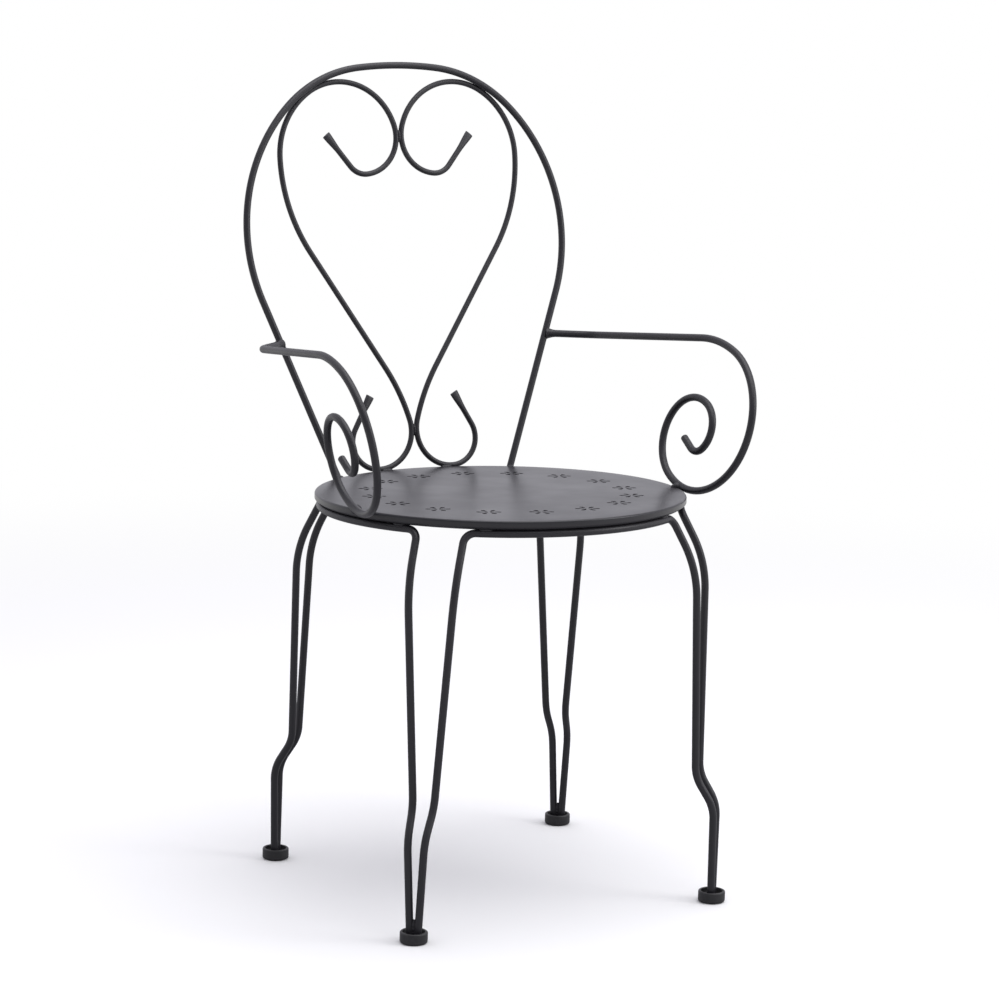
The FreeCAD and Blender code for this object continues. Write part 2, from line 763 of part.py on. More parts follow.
def make_seat_welds(hoop, scroll, arm, seat):
    """Make the welds that join the back and the armrests to the seat rim."""
    core = make_seat_core()
    rounding = rim_circle(size("rim_round"), size("rim_round"))
    near, far = nearest(wire(SCROLL[FOOT], SCROLL_PLANE), rounding)
    centre = near + (far - near).normalize() * (size("scroll_rod") + size("touch_gap")) / 2
    scroll_bead = bead("scroll_seat_bead", centre, SIDE)
    near, far = nearest(joined(ARM), rounding)
    arm_lump = lump("arm_seat_lump", near + (far - near).normalize() * (size("arm_rod") / 2))
    foot = in_plane(HOOP_PLANE, HOOP[0].StartPoint)
    rise = (in_plane(HOOP_PLANE, HOOP[0].EndPoint) - foot).normalize()
    inward = (below_top(size("rim_depth")).Base - foot).normalize()
    centre = foot + rise * (size("rim_depth") / 2) + inward * (size("hoop_rod") / 2)
    hoop_bead = bead("hoop_seat_bead", centre, rise, "sizes.rim_depth")
    return [
        pair("weld_scroll_seat", cut("scroll_seat_weld", scroll_bead, [core, scroll, seat])),
        pair("weld_arm_seat", cut("arm_seat_weld", arm_lump, [core, arm, seat])),
        pair("weld_hoop_seat", cut("hoop_seat_weld", hoop_bead, [core, hoop, seat])),
    ]


def make_arm_weld(hoop, arm):
    """Make the rounded welds where the armrests leave the hoop."""
    ahead = (ARM[0].EndPoint - ARM[0].StartPoint).normalize()
    place = hoop_point(size("arm_joint_rise")) + ahead * (size("hoop_rod") / 2)
    return pair("weld_arm_hoop", cut("arm_hoop_weld", lump("arm_hoop_lump", place), [hoop, arm]))


def make_ring_welds(ring, frames):
    """Make the welds that hold the leg frames under the ring, two at each end of a frame."""
    drop = size("ring_drop") + (size("ring_rod") + size("touch_gap")) / 2
    beads = []
    for number in FEET.values():
        for side in (-1, 1):
            degrees = bearing(number) + side * (size("rim_arc_start") + size("ring_weld_turn"))
            centre = around_seat(Vector(size("ring_radius"), 0, -drop), degrees)
            along = around_seat(Vector(size("ring_radius"), 1, -drop), degrees) - centre
            beads.append(bead(f"ring_bead_{len(beads) + 1}", centre, along))
    group = doc.addObject("Part::Compound", "ring_beads")
    group.Links = beads
    return cut("weld_leg_ring", group, frames + [ring])


def build_chair():
    """Build every piece of the chair and return them in the order in which they stand."""
    seat = make_seat_sheet()
    ring = make_seat_ring()
    hoop = plane_rod("back_hoop", HOOP, "hoop_rod", HOOP_PLANE)
    scroll = plane_rod("scroll_right", SCROLL, "scroll_rod", SCROLL_PLANE)
    scrolls = [scroll, mirrored("scroll_left", scroll)]
    arm_rod = spun_rod("arm_right", ARM, "arm_rod")
    arm = cut("arm_right", arm_rod, [hoop])
    arms = [arm, mirrored("arm_left", arm)]
    ground = make_ground()
    frames = [make_leg_frame(f"leg_frame_{name}", *feet, ground) for name, feet in FRAMES.items()]
    pieces = [seat, ring, hoop] + scrolls + arms + frames
    for name, number in FEET.items():
        centre = around_floor(Vector(size("foot_circle"), 0, 0), bearing(number))
        pieces.append(make_foot_disc(f"foot_disc_{name}", centre))
        pieces.append(make_foot_cap(f"foot_cap_{name}", centre))
        pieces.append(make_foot_weld(f"foot_weld_{name}", number, frames))
    pieces += make_back_welds(hoop, scrolls)
    pieces += make_seat_welds(hoop, scroll, arm, seat)
    pieces.append(make_arm_weld(hoop, arm))
    pieces.append(make_ring_welds(ring, frames))
    return pieces


def export(pieces):
    """Check every object of the document and write one STEP file for each piece."""
    doc.recompute()
    for feature in doc.Objects:
        if {"Invalid", "Error"} & set(feature.State):
            raise RuntimeError(f"{feature.Name} is {feature.State}")
    os.makedirs("parts", exist_ok=True)
    for piece in pieces:
        if piece.Shape.isNull() or not piece.Shape.isValid():
            raise RuntimeError(f"{piece.Name} has no valid shape")
        piece.Label = piece.Name
        piece.Shape.exportStep(f"parts/{piece.Label}.step")
        box = piece.Shape.BoundBox
        print(piece.Label, len(piece.Shape.Solids), round(piece.Shape.Volume, 1), box)


export(build_chair())
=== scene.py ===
"""Looks of a garden armchair bent from round steel rod, with a flat sheet seat.

The chair is powder coated in a matt near-black.  All sizes are in millimetres and are
turned to metres where a mesh is made.  The chair faces -Y and stands on z = 0.  The seat
and all that stands on it is pitched back a little over the level feet, and is drawn in
the seat's own frame, whose origin is the middle of the seat's top.
"""

import json
import logging
import math
from dataclasses import dataclass, field
from enum import Enum
from typing import NamedTuple, Optional, Sequence, Union

import bpy
import numpy as np
from mathutils import Matrix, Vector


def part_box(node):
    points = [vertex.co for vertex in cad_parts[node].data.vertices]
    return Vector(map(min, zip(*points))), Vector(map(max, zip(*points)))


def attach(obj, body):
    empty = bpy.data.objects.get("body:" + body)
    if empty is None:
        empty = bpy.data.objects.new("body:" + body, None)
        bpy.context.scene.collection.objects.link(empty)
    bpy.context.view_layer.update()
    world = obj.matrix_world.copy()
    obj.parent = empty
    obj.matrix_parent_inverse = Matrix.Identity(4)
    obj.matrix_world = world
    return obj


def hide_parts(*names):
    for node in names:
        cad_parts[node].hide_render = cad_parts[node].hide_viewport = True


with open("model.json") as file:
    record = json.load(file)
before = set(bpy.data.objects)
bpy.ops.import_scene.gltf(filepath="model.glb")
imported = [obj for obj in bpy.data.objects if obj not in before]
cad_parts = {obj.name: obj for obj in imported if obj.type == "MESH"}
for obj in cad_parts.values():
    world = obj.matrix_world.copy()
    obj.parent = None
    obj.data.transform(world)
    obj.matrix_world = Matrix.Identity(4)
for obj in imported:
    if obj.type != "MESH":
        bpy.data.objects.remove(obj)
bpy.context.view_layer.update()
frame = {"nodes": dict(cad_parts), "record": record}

LOG = logging.getLogger("garden_armchair")
MM = 0.001
RUN_STEP = 5.0
ARC_STEP = 2.0
CORNER_STEP = 1.5
ROOT = "root"
SIDE = np.array([1.0, 0.0, 0.0])
REAR = np.array([0.0, 1.0, 0.0])
UP = np.array([0.0, 0.0, 1.0])


class Slot(Enum):
    """Material slots of the record."""

    COATED_STEEL = "powder_coated_steel"
    FOOT_CAP = "foot_cap"


class Foot(Enum):
    """The four feet, each with its number counted round from the rear right foot."""

    REAR_RIGHT = 1
    REAR_LEFT = 2
    FRONT_LEFT = 3
    FRONT_RIGHT = 4

    @property
    def label(self) -> str:
        """Name of the foot as the CAD nodes have it."""
        return self.name.lower()


class Bend(NamedTuple):
    """A bend of a rod: radius in millimetres and turn in degrees, positive to the left."""

    radius: float
    turn: float


class Run(NamedTuple):
    """A straight stretch of a rod."""

    length: float


# Geometry helpers.


def unit(vectors: np.ndarray) -> np.ndarray:
    """Return vectors of length one in the same directions."""
    return vectors / np.linalg.norm(vectors, axis=-1, keepdims=True)


def smooth_step(values: np.ndarray) -> np.ndarray:
    """Return 3 t^2 - 2 t^3 of values held between 0 and 1."""
    held = np.clip(values, 0.0, 1.0)
    return held * held * (3.0 - 2.0 * held)


def about_x(degrees: float) -> np.ndarray:
    """Return the matrix of a turn about the X axis."""
    cosine, sine = math.cos(math.radians(degrees)), math.sin(math.radians(degrees))
    return np.array([[1.0, 0.0, 0.0], [0.0, cosine, -sine], [0.0, sine, cosine]])


def about_y(degrees: float) -> np.ndarray:
    """Return the matrix of a turn about the Y axis."""
    cosine, sine = math.cos(math.radians(degrees)), math.sin(math.radians(degrees))
    return np.array([[cosine, 0.0, sine], [0.0, 1.0, 0.0], [-sine, 0.0, cosine]])


def about_z(degrees: float) -> np.ndarray:
    """Return the matrix of a turn about the Z axis."""
    cosine, sine = math.cos(math.radians(degrees)), math.sin(math.radians(degrees))
    return np.array([[cosine, -sine, 0.0], [sine, cosine, 0.0], [0.0, 0.0, 1.0]])


def chain(start: Sequence[float], heading: float, moves: Sequence[Union[Run, Bend]]) -> np.ndarray:
    """Lay straight runs and tangent arcs end to end in a plane.

    A point at angle a of an arc of radius r and centre c is c + r (cos a, sin a).

    Args:
        start: First point.
        heading: First direction in degrees.
        moves: Runs and bends in their order.

    Returns:
        Points along the line, at most two millimetres apart on arcs.
    """
    point = np.array(start, float)
    angle = math.radians(heading)
    pieces = [point[None]]
    for move in moves:
        ahead = np.array([math.cos(angle), math.sin(angle)])
        if isinstance(move, Run):
            steps = np.linspace(0.0, move.length, max(3, int(move.length / RUN_STEP)) + 1)[1:, None]
            piece = point + steps * ahead
        else:
            swing = math.radians(move.turn)
            left = np.array([-ahead[1], ahead[0]])
            centre = point + left * math.copysign(move.radius, move.turn)
            count = max(8, int(abs(move.radius * swing) / ARC_STEP))
            swings = np.linspace(0.0, swing, count + 1)[1:, None]
            spoke = point - centre
            across = np.array([-spoke[1], spoke[0]])
            piece = centre + np.cos(swings) * spoke + np.sin(swings) * across
            angle += swing
        pieces.append(piece)
        point = piece[-1]
    return np.vstack(pieces)


def rounded(corners: np.ndarray, radii: Sequence[float], spare: float = 0.98) -> np.ndarray:
    """Return points of a line through corners, each rounded by a tangent arc.

    An arc that turns by t at a corner starts r tan(t / 2) before it.  Where two arcs
    leave no room on their run, both are made smaller.

    Args:
        corners: Corner points with the two ends.
        radii: Radius at each inner corner.
        spare: Share of a run that its two arcs may take.

    Returns:
        Points along the line.
    """
    runs = np.diff(corners, axis=0)
    lengths = np.linalg.norm(runs, axis=1)
    ahead = unit(runs)
    turns = np.arccos(np.clip(np.sum(ahead[:-1] * ahead[1:], axis=1), -1.0, 1.0))
    reach = np.concatenate([[0.0], np.array(radii) * np.tan(turns / 2), [0.0]])
    for index, length in enumerate(lengths):
        wanted = reach[index] + reach[index + 1]
        if wanted > spare * length:
            reach[index:index + 2] *= spare * length / wanted
    pieces = [corners[:1]]
    for index, turn in enumerate(turns):
        entry = corners[index + 1] - ahead[index] * reach[index + 1]
        radius = reach[index + 1] / math.tan(turn / 2)
        inward = unit(ahead[index + 1] - ahead[index] * math.cos(turn))
        swings = np.linspace(0.0, turn, max(8, int(radius * turn / CORNER_STEP)) + 1)[:, None]
        pieces.append(stepped(pieces[-1][-1], entry)[:-1])
        pieces.append(entry + radius * (np.sin(swings) * ahead[index] + (1 - np.cos(swings)) * inward))
    pieces.append(stepped(pieces[-1][-1], corners[-1]))
    return np.vstack(pieces)


def stepped(near: np.ndarray, far: np.ndarray) -> np.ndarray:
    """Return points after near up to far, about a step apart."""
    count = max(2, int(np.linalg.norm(far - near) / RUN_STEP))
    return near + np.linspace(0.0, 1.0, count + 1)[1:, None] * (far - near)


@dataclass
class Shell:
    """A closed surface: points in millimetres, its faces, and each point's share of painted highlight."""

    points: np.ndarray
    faces: list
    end_highlight: np.ndarray


def grid_faces(rows: int, columns: int, closed: bool = False) -> list:
    """Return the quads of a grid whose columns close on themselves.

    Args:
        rows: Rows of points.
        columns: Points in a row.
        closed: Whether the last row joins the first.

    Returns:
        Four indices for each quad.
    """
    row, column = np.meshgrid(np.arange(rows if closed else rows - 1), np.arange(columns), indexing="ij")
    after, below = (column + 1) % columns, (row + 1) % rows
    quads = np.stack([row * columns + column, row * columns + after,
                      below * columns + after, below * columns + column], axis=-1)
    return quads.reshape(-1, 4).tolist()


def closed_grid(grid: np.ndarray, near_pole: np.ndarray, far_pole: np.ndarray, end_highlight: np.ndarray) -> Shell:
    """Close a grid of rings with a pole at each end.

    Args:
        grid: Rings of points, rows by columns by three.
        near_pole: Point that closes the first ring.
        far_pole: Point that closes the last ring.
        end_highlight: Share of painted highlight of each ring.

    Returns:
        The closed shell.
    """
    rows, columns = grid.shape[:2]
    column = np.arange(columns)
    after = (column + 1) % columns
    near, far = rows * columns, rows * columns + 1
    last = (rows - 1) * columns
    near_fan = np.stack([np.full(columns, near), after, column], axis=-1)
    far_fan = np.stack([np.full(columns, far), last + column, last + after], axis=-1)
    faces = grid_faces(rows, columns) + near_fan.tolist() + far_fan.tolist()
    points = np.vstack([grid.reshape(-1, 3), near_pole, far_pole])
    values = np.concatenate([np.repeat(end_highlight, columns), end_highlight[:1], end_highlight[-1:]])
    return Shell(points, faces, values)


def at_lengths(points: np.ndarray, lengths: np.ndarray, wanted: np.ndarray) -> np.ndarray:
    """Return places along a line by straight steps between its points."""
    return np.stack([np.interp(wanted, lengths, points[:, axis]) for axis in range(3)], axis=-1)


@dataclass(frozen=True)
class Tip:
    """The end of a rod that is hammered flat.

    The rod keeps its round section up to the flat, then grows wider in its plane and
    thinner across it by a smooth step.
    """

    length: float = 26.0
    widening: float = 1.62
    thinning: float = 0.52


@dataclass
class Rod:
    """A round steel rod along a line, with softened ends.

    Attributes:
        points: Line of the rod's centre.
        radius: Radius of the rod.
        across: Direction, or one for each point, that is never along the rod.
        edge: Rounding of the cut ends.
        sides: Faces round the section.
        near_tip: Hammered flat at the start, if any.
        far_tip: Hammered flat at the end, if any.
    """

    points: np.ndarray
    radius: float
    across: np.ndarray
    edge: float = 0.9
    sides: int = 24
    near_tip: Optional[Tip] = None
    far_tip: Optional[Tip] = None

    def shell(self) -> Shell:
        """Sweep the section along the line.

        A surface point is c(s) + w(s) cos(v) b(s) + h(s) sin(v) n(s), where c is the
        centre line, n and b are square to it, and w and h are the half width and half
        height, which shrink along a quarter circle at each end.

        Returns:
            The rod's closed surface.
        """
        steps = np.linalg.norm(np.diff(self.points, axis=0), axis=1)
        keep = np.concatenate([[True], steps > 1e-6])
        points = self.points[keep]
        lengths = np.concatenate([[0.0], np.cumsum(steps[keep[1:]])])
        across = np.broadcast_to(self.across, self.points.shape)[keep]
        whole = lengths[-1]
        ahead = unit(np.gradient(points, lengths, axis=0))
        swing = np.linspace(0.0, math.pi / 2, 5)
        end_steps = self.edge * (1.0 - np.cos(swing))
        inner = lengths[(lengths > self.edge * 1.5) & (lengths < whole - self.edge * 1.5)]
        station = np.concatenate([end_steps, inner, whole - end_steps[::-1]])
        end_inset = self.edge * (1.0 - np.sin(swing))
        inset = np.concatenate([end_inset, np.zeros(len(inner)), end_inset[::-1]])
        width, height = self.section(station, whole)
        centre = at_lengths(points, lengths, station)
        tangent = unit(at_lengths(ahead, lengths, station))
        normal = at_lengths(across, lengths, station)
        normal = unit(normal - np.sum(normal * tangent, axis=1, keepdims=True) * tangent)
        side = np.cross(tangent, normal)
        turn = np.linspace(0.0, 2 * math.pi, self.sides, endpoint=False)
        grid = (centre[:, None]
                + (width - inset)[:, None, None] * np.sin(turn)[None, :, None] * side[:, None]
                + (height - inset)[:, None, None] * np.cos(turn)[None, :, None] * normal[:, None])
        # Painted highlight: the cut ends are drawn lighter, fading along the rod.
        end_highlight = self.end_highlight(station, whole)
        return closed_grid(grid, centre[0], centre[-1], end_highlight)

    def section(self, station: np.ndarray, whole: float) -> tuple[np.ndarray, np.ndarray]:
        """Return the size of the section along the rod.

        Args:
            station: Distances along the rod.
            whole: Length of the rod.

        Returns:
            The half width in the rod's plane and the half height across it.
        """
        width = np.full(len(station), self.radius)
        height = np.full(len(station), self.radius)
        for tip, distance in ((self.near_tip, station), (self.far_tip, whole - station)):
            if tip is not None:
                share = smooth_step(1.0 - distance / tip.length)
                width = width * (1.0 + (tip.widening - 1.0) * share)
                height = height * (1.0 + (tip.thinning - 1.0) * share)
        return width, height

    def end_highlight(self, station: np.ndarray, whole: float, fade: float = 6.0) -> np.ndarray:
        """Return the share of painted highlight: 1 at a cut end, fading to 0 along the rod."""
        return np.exp(-np.minimum(station, whole - station) / fade)


@dataclass
class Bead:
    """A bead of weld metal: a long rounded lump with the ripples of its passes.

    Attributes:
        centre: Middle of the bead.
        along: Direction of the seam.
        facing: Direction that the bead's width is square to.
        length: Length of the bead.
        width: Width of the bead.
        height: Thickness of the bead.
        ripples: Ripples along the bead.
        swelling: Share by which a ripple makes the bead thicker.
    """

    centre: np.ndarray
    along: np.ndarray
    facing: np.ndarray
    length: float = 14.0
    width: float = 7.0
    height: float = 7.0
    ripples: int = 5
    swelling: float = 0.05

    def shell(self, rows: int = 40, sides: int = 20) -> Shell:
        """Sweep a rippled ellipse along the seam.

        At share t of the half length the section shrinks by the square root of
        1 - |t|^3 and swells by a small cosine for each ripple.

        Args:
            rows: Rings along the bead.
            sides: Points round each ring.

        Returns:
            The closed bead.
        """
        share = np.cos(np.linspace(math.pi, 0.0, rows + 2)[1:-1])
        ripple = self.swelling * np.cos(math.pi * self.ripples * share)
        swell = np.sqrt(1.0 - np.abs(share) ** 3) * (1.0 + ripple)
        along = unit(self.along)
        facing = unit(self.facing - np.dot(self.facing, along) * along)
        across = np.cross(along, facing)
        turn = np.linspace(0.0, 2 * math.pi, sides, endpoint=False)[None, :, None]
        ring = (self.height / 2 * np.cos(turn) * facing + self.width / 2 * np.sin(turn) * across)
        grid = self.centre + share[:, None, None] * self.length / 2 * along + swell[:, None, None] * ring
        ends = self.centre + np.array([[-1.0], [1.0]]) * self.length / 2 * along
        return closed_grid(grid, ends[0], ends[1], np.zeros(rows))


@dataclass
class Fillet:
    """A weld fillet round the end of a rod that is joined square to another rod.

    Attributes:
        start: End of the joined rod, inside the other rod.
        ahead: Direction of the joined rod.
        across: Direction square to it.
        rod: Radius of the joined rod.
        rise: How far the fillet stands out at its root.
        reach: How far the fillet runs along the rod.
        ripple: Height of the ripples at the root.
        sink: How deep the fillet's far end lies in the rod.
    """

    start: np.ndarray
    ahead: np.ndarray
    across: np.ndarray
    rod: float
    rise: float = 2.6
    reach: float = 13.0
    ripple: float = 0.12
    sink: float = 0.15

    def shell(self, rows: int = 30, sides: int = 28) -> Shell:
        """Sweep a circle that shrinks along the rod.

        At share t of the reach the radius is the rod's plus rise (1 - t)^2, with three
        small ripples that fade towards the rod.

        Args:
            rows: Rings along the fillet.
            sides: Points round each ring.

        Returns:
            The closed fillet.
        """
        share = np.linspace(0.0, 1.0, rows)
        ripple = self.ripple * np.cos(6 * math.pi * share) * (1.0 - share)
        radius = self.rod - self.sink + self.rise * (1.0 - share) ** 2 + ripple
        normal = unit(self.across - np.dot(self.across, self.ahead) * self.ahead)
        side = np.cross(self.ahead, normal)
        turn = np.linspace(0.0, 2 * math.pi, sides, endpoint=False)[None, :, None]
        ring = np.cos(turn) * normal + np.sin(turn) * side
        spine = self.start + share[:, None, None] * self.reach * self.ahead
        grid = spine + radius[:, None, None] * ring
        return closed_grid(grid, spine[0, 0], spine[-1, 0], np.zeros(rows))


def spun(profile: np.ndarray, centre: np.ndarray, sides: int = 64) -> Shell:
    """Turn a profile about an upright axis.

    A point is (x + r cos v, y + r sin v, z) for each radius and level of the profile.

    Args:
        profile: Radius and level of each point; first and last lie on the axis.
        centre: Point of the axis at level zero.
        sides: Faces round the axis.

    Returns:
        The closed shell.
    """
    radius, level = profile[1:-1, 0], profile[1:-1, 1]
    turn = np.linspace(0.0, 2 * math.pi, sides, endpoint=False)
    grid = np.empty((len(radius), sides, 3))
    grid[..., 0] = centre[0] + radius[:, None] * np.cos(turn)
    grid[..., 1] = centre[1] + radius[:, None] * np.sin(turn)
    grid[..., 2] = centre[2] + level[:, None]
    near_pole, far_pole = centre + UP * profile[0, 1], centre + UP * profile[-1, 1]
    return closed_grid(grid, near_pole, far_pole, np.zeros(len(radius)))


def rod_ring(radius: float, rod: float, drop: float, steps: int = 200, sides: int = 24) -> Shell:
    """Bend a rod to a closed ring below the seat's top.

    A point is ((R + r cos u) cos v, (R + r cos u) sin v, r sin u - drop), where R is the
    ring's radius and r the rod's.

    Args:
        radius: Radius of the ring's centre line.
        rod: Radius of the rod.
        drop: Depth of the centre line below the seat's top.
        steps: Sections along the ring.
        sides: Points round each section.

    Returns:
        The closed ring.
    """
    along = np.linspace(0.0, 2 * math.pi, steps, endpoint=False)[:, None]
    around = np.linspace(0.0, 2 * math.pi, sides, endpoint=False)[None, :]
    reach = radius + rod * np.cos(around)
    level = np.broadcast_to(rod * np.sin(around) - drop, (steps, sides))
    grid = np.stack([reach * np.cos(along), reach * np.sin(along), level], axis=-1)
    faces = [face[::-1] for face in grid_faces(steps, sides, closed=True)]
    return Shell(SEAT.placed(grid.reshape(-1, 3)), faces, np.zeros(steps * sides))


def quarter(centre: Sequence[float], radius: float, first: float, last: float, count: int = 7) -> np.ndarray:
    """Return points of an arc of a profile.

    Args:
        centre: Centre of the arc.
        radius: Radius of the arc.
        first: Angle of the first point in degrees.
        last: Angle of the last point in degrees.
        count: Number of points.

    Returns:
        The points, first to last.
    """
    turn = np.radians(np.linspace(first, last, count))
    return np.stack([centre[0] + radius * np.cos(turn), centre[1] + radius * np.sin(turn)], axis=-1)


def flipped(shell: Shell) -> Shell:
    """Return the mirror image of a shell on the other side, with its faces outward."""
    points = shell.points * np.array([-1.0, 1.0, 1.0])
    return Shell(points, [face[::-1] for face in shell.faces], shell.end_highlight)


def both(shell: Shell) -> list[Shell]:
    """Return a shell of the right side and its mirror image."""
    return [shell, flipped(shell)]


def place(name: str, shells: Sequence[Shell], finish: bpy.types.Material, nodes: Sequence[str],
          slot: Slot = Slot.COATED_STEEL) -> bpy.types.Object:
    """Make one object of shells and let it stand for CAD nodes.

    Args:
        name: Name of the piece.
        shells: Closed surfaces in millimetres.
        finish: Material of the piece.
        nodes: CAD nodes that the piece stands for.
        slot: Material slot of the record; not used.

    Returns:
        The new object.
    """
    mesh = bpy.data.meshes.new(name)
    offsets = np.cumsum([0] + [len(shell.points) for shell in shells])
    points = np.vstack([shell.points for shell in shells]) * MM
    faces = [[index + int(offset) for index in face]
             for shell, offset in zip(shells, offsets) for face in shell.faces]
    mesh.from_pydata(points, [], faces)
    # Per-point share of painted highlight, which lightens the rod ends in the coat.
    end_highlight = mesh.attributes.new("end_highlight", "FLOAT", "POINT")
    end_highlight.data.foreach_set("value", np.concatenate([shell.end_highlight for shell in shells]).astype(np.float32))
    mesh.update()
    mesh.validate()
    mesh.shade_smooth()
    mesh.materials.append(finish)
    piece = bpy.data.objects.new(name, mesh)
    bpy.context.scene.collection.objects.link(piece)
    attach(piece, ROOT)
    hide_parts(*nodes)
    LOG.info("%s: %d faces", name, len(mesh.polygons))
    return piece


# Finishes.


def linear(colour: str) -> tuple[float, float, float, float]:
    """Turn an sRGB hex colour to linear red, green, blue and alpha."""
    shares = [int(colour[start:start + 2], 16) / 255.0 for start in (1, 3, 5)]
    red, green, blue = [s / 12.92 if s <= 0.04045 else ((s + 0.055) / 1.055) ** 2.4 for s in shares]
    return red, green, blue, 1.0


def add_node(tree: bpy.types.NodeTree, kind: str, inputs: Optional[dict] = None,
             **settings: object) -> bpy.types.Node:
    """Add a shader node.

    Args:
        tree: Node tree of a material or world.
        kind: Blender's name of the node's type.
        inputs: Value or source socket of each input.
        **settings: Properties of the node.

    Returns:
        The new node.
    """
    added = tree.nodes.new(kind)
    for name, value in settings.items():
        setattr(added, name, value)
    for key, value in (inputs or {}).items():
        if isinstance(value, bpy.types.NodeSocket):
            tree.links.new(value, added.inputs[key])
        else:
            added.inputs[key].default_value = value
    return added


def blank_material(name: str) -> tuple[bpy.types.Material, bpy.types.NodeTree]:
    """Return a new material and its emptied node tree."""
    material = bpy.data.materials.new(name)
    material.use_nodes = True
    material.node_tree.nodes.clear()
    return material, material.node_tree


def add_surface(tree: bpy.types.NodeTree, colour: bpy.types.Node, rough: bpy.types.Node,
                height: bpy.types.Node, strength: float, relief: float) -> None:
    """Add the bump, the shader of a coat or plastic, and the output.

    Args:
        tree: Node tree of the material.
        colour: Node that gives the colour.
        rough: Node that gives the roughness.
        height: Texture that gives the bumps.
        strength: Strength of the bumps.
        relief: Height of the bumps in millimetres.
    """
    bump = add_node(tree, "ShaderNodeBump", {"Height": height.outputs["Fac"], "Strength": strength,
                                             "Distance": relief * MM})
    shader = add_node(tree, "ShaderNodeBsdfPrincipled",
                      {"Base Color": colour.outputs["Result"], "Roughness": rough.outputs["Result"],
                       "Normal": bump.outputs["Normal"], "IOR": 1.5, "Metallic": 0.0})
    add_node(tree, "ShaderNodeOutputMaterial", {"Surface": shader.outputs["BSDF"]})


@dataclass(frozen=True)
class PowderCoat:
    """Polyester powder coat on mild steel, sprayed and baked, matt near-black.

    Baked powder flows into a fine orange peel, so highlights are soft and slightly grainy.
    The cut ends of the rods carry a painted highlight: their colour turns a little lighter.

    Attributes:
        name: Name of the material.
        colour: Colour of the coat.
        end_highlight_colour: Painted highlight colour at the cut ends of the rods.
        roughness: Middle roughness.
        peel: Size of the orange peel in millimetres, drawn about twice as coarse as the
            real one so that it shows.
        relief: Height of the orange peel in millimetres.
        mottle: Size of the slow changes of tone in millimetres.
    """

    name: str
    colour: str = "#222126"
    # Lighter colour of the painted highlight at the rod ends.
    end_highlight_colour: str = "#38373c"
    roughness: float = 0.42
    peel: float = 2.2
    relief: float = 0.05
    mottle: float = 70.0

    def material(self) -> bpy.types.Material:
        """Build the material's nodes and return it."""
        material, tree = blank_material(self.name)
        where = add_node(tree, "ShaderNodeTexCoord").outputs["Object"]
        mottle = add_node(tree, "ShaderNodeTexNoise", {"Vector": where, "Scale": 1.0 / (self.mottle * MM),
                                                       "Detail": 3.0, "Roughness": 0.6})
        peel = add_node(tree, "ShaderNodeTexNoise", {"Vector": where, "Scale": 1.0 / (self.peel * MM),
                                                     "Detail": 2.0, "Roughness": 0.5})
        # Painted highlight: near the rod ends the colour is mixed towards a lighter grey, grainy with the
        # peel.
        end_highlight = add_node(tree, "ShaderNodeAttribute", attribute_name="end_highlight", attribute_type="GEOMETRY")
        end_highlight_share = add_node(tree, "ShaderNodeMath", {0: end_highlight.outputs["Fac"], 1: peel.outputs["Fac"]},
                        operation="MULTIPLY")
        tone = add_node(tree, "ShaderNodeMapRange", {"Value": mottle.outputs["Fac"], "From Min": 0.35,
                                                     "From Max": 0.65, "To Min": 0.0, "To Max": 0.14})
        shade = add_node(tree, "ShaderNodeMath", {0: tone.outputs["Result"], 1: end_highlight_share.outputs["Value"]},
                         operation="ADD", use_clamp=True)
        colour = add_node(tree, "ShaderNodeMix", {"Factor": shade.outputs["Value"], "A": linear(self.colour),
                                                  "B": linear(self.end_highlight_colour)}, data_type="RGBA")
        rough = add_node(tree, "ShaderNodeMapRange", {"Value": mottle.outputs["Fac"], "From Min": 0.3,
                                                      "From Max": 0.7, "To Min": self.roughness - 0.04,
                                                      "To Max": self.roughness + 0.05})
        add_surface(tree, colour, rough, peel, 0.35, self.relief)
        return material


@dataclass(frozen=True)
class MouldedPlastic:
    """Injection-moulded low-density polyethylene, black, with a fine spark-eroded grain.

    It gives a slightly waxy, even grey sheen, a little lighter than the coated steel.

    Attributes:
        name: Name of the material.
        colour: Colour of the plastic.
        scuffed: Colour of the scuffs.
        scuff: Size of the scuffs in millimetres.
        roughness: Middle roughness.
        grain: Size of the mould's grain in millimetres.
        relief: Height of the grain in millimetres.
    """

    name: str
    colour: str = "#29292b"
    scuffed: str = "#3c3b3c"
    scuff: float = 9.0
    roughness: float = 0.48
    grain: float = 1.2
    relief: float = 0.04

    def material(self) -> bpy.types.Material:
        """Build the material's nodes and return it."""
        material, tree = blank_material(self.name)
        where = add_node(tree, "ShaderNodeTexCoord").outputs["Object"]
        grain = add_node(tree, "ShaderNodeTexNoise", {"Vector": where, "Scale": 1.0 / (self.grain * MM),
                                                      "Detail": 2.0})
        scuffs = add_node(tree, "ShaderNodeTexNoise", {"Vector": where, "Scale": 1.0 / (self.scuff * MM),
                                                       "Detail": 5.0, "Roughness": 0.7})
        share = add_node(tree, "ShaderNodeMapRange", {"Value": scuffs.outputs["Fac"], "From Min": 0.45,
                                                      "From Max": 0.75, "To Min": 0.0, "To Max": 0.6})
        colour = add_node(tree, "ShaderNodeMix", {"Factor": share.outputs["Result"], "A": linear(self.colour),
                                                  "B": linear(self.scuffed)}, data_type="RGBA")
        rough = add_node(tree, "ShaderNodeMapRange", {"Value": scuffs.outputs["Fac"],
                                                      "To Min": self.roughness - 0.08,
                                                      "To Max": self.roughness + 0.08})
        add_surface(tree, colour, rough, grain, 0.3, self.relief)
        return material


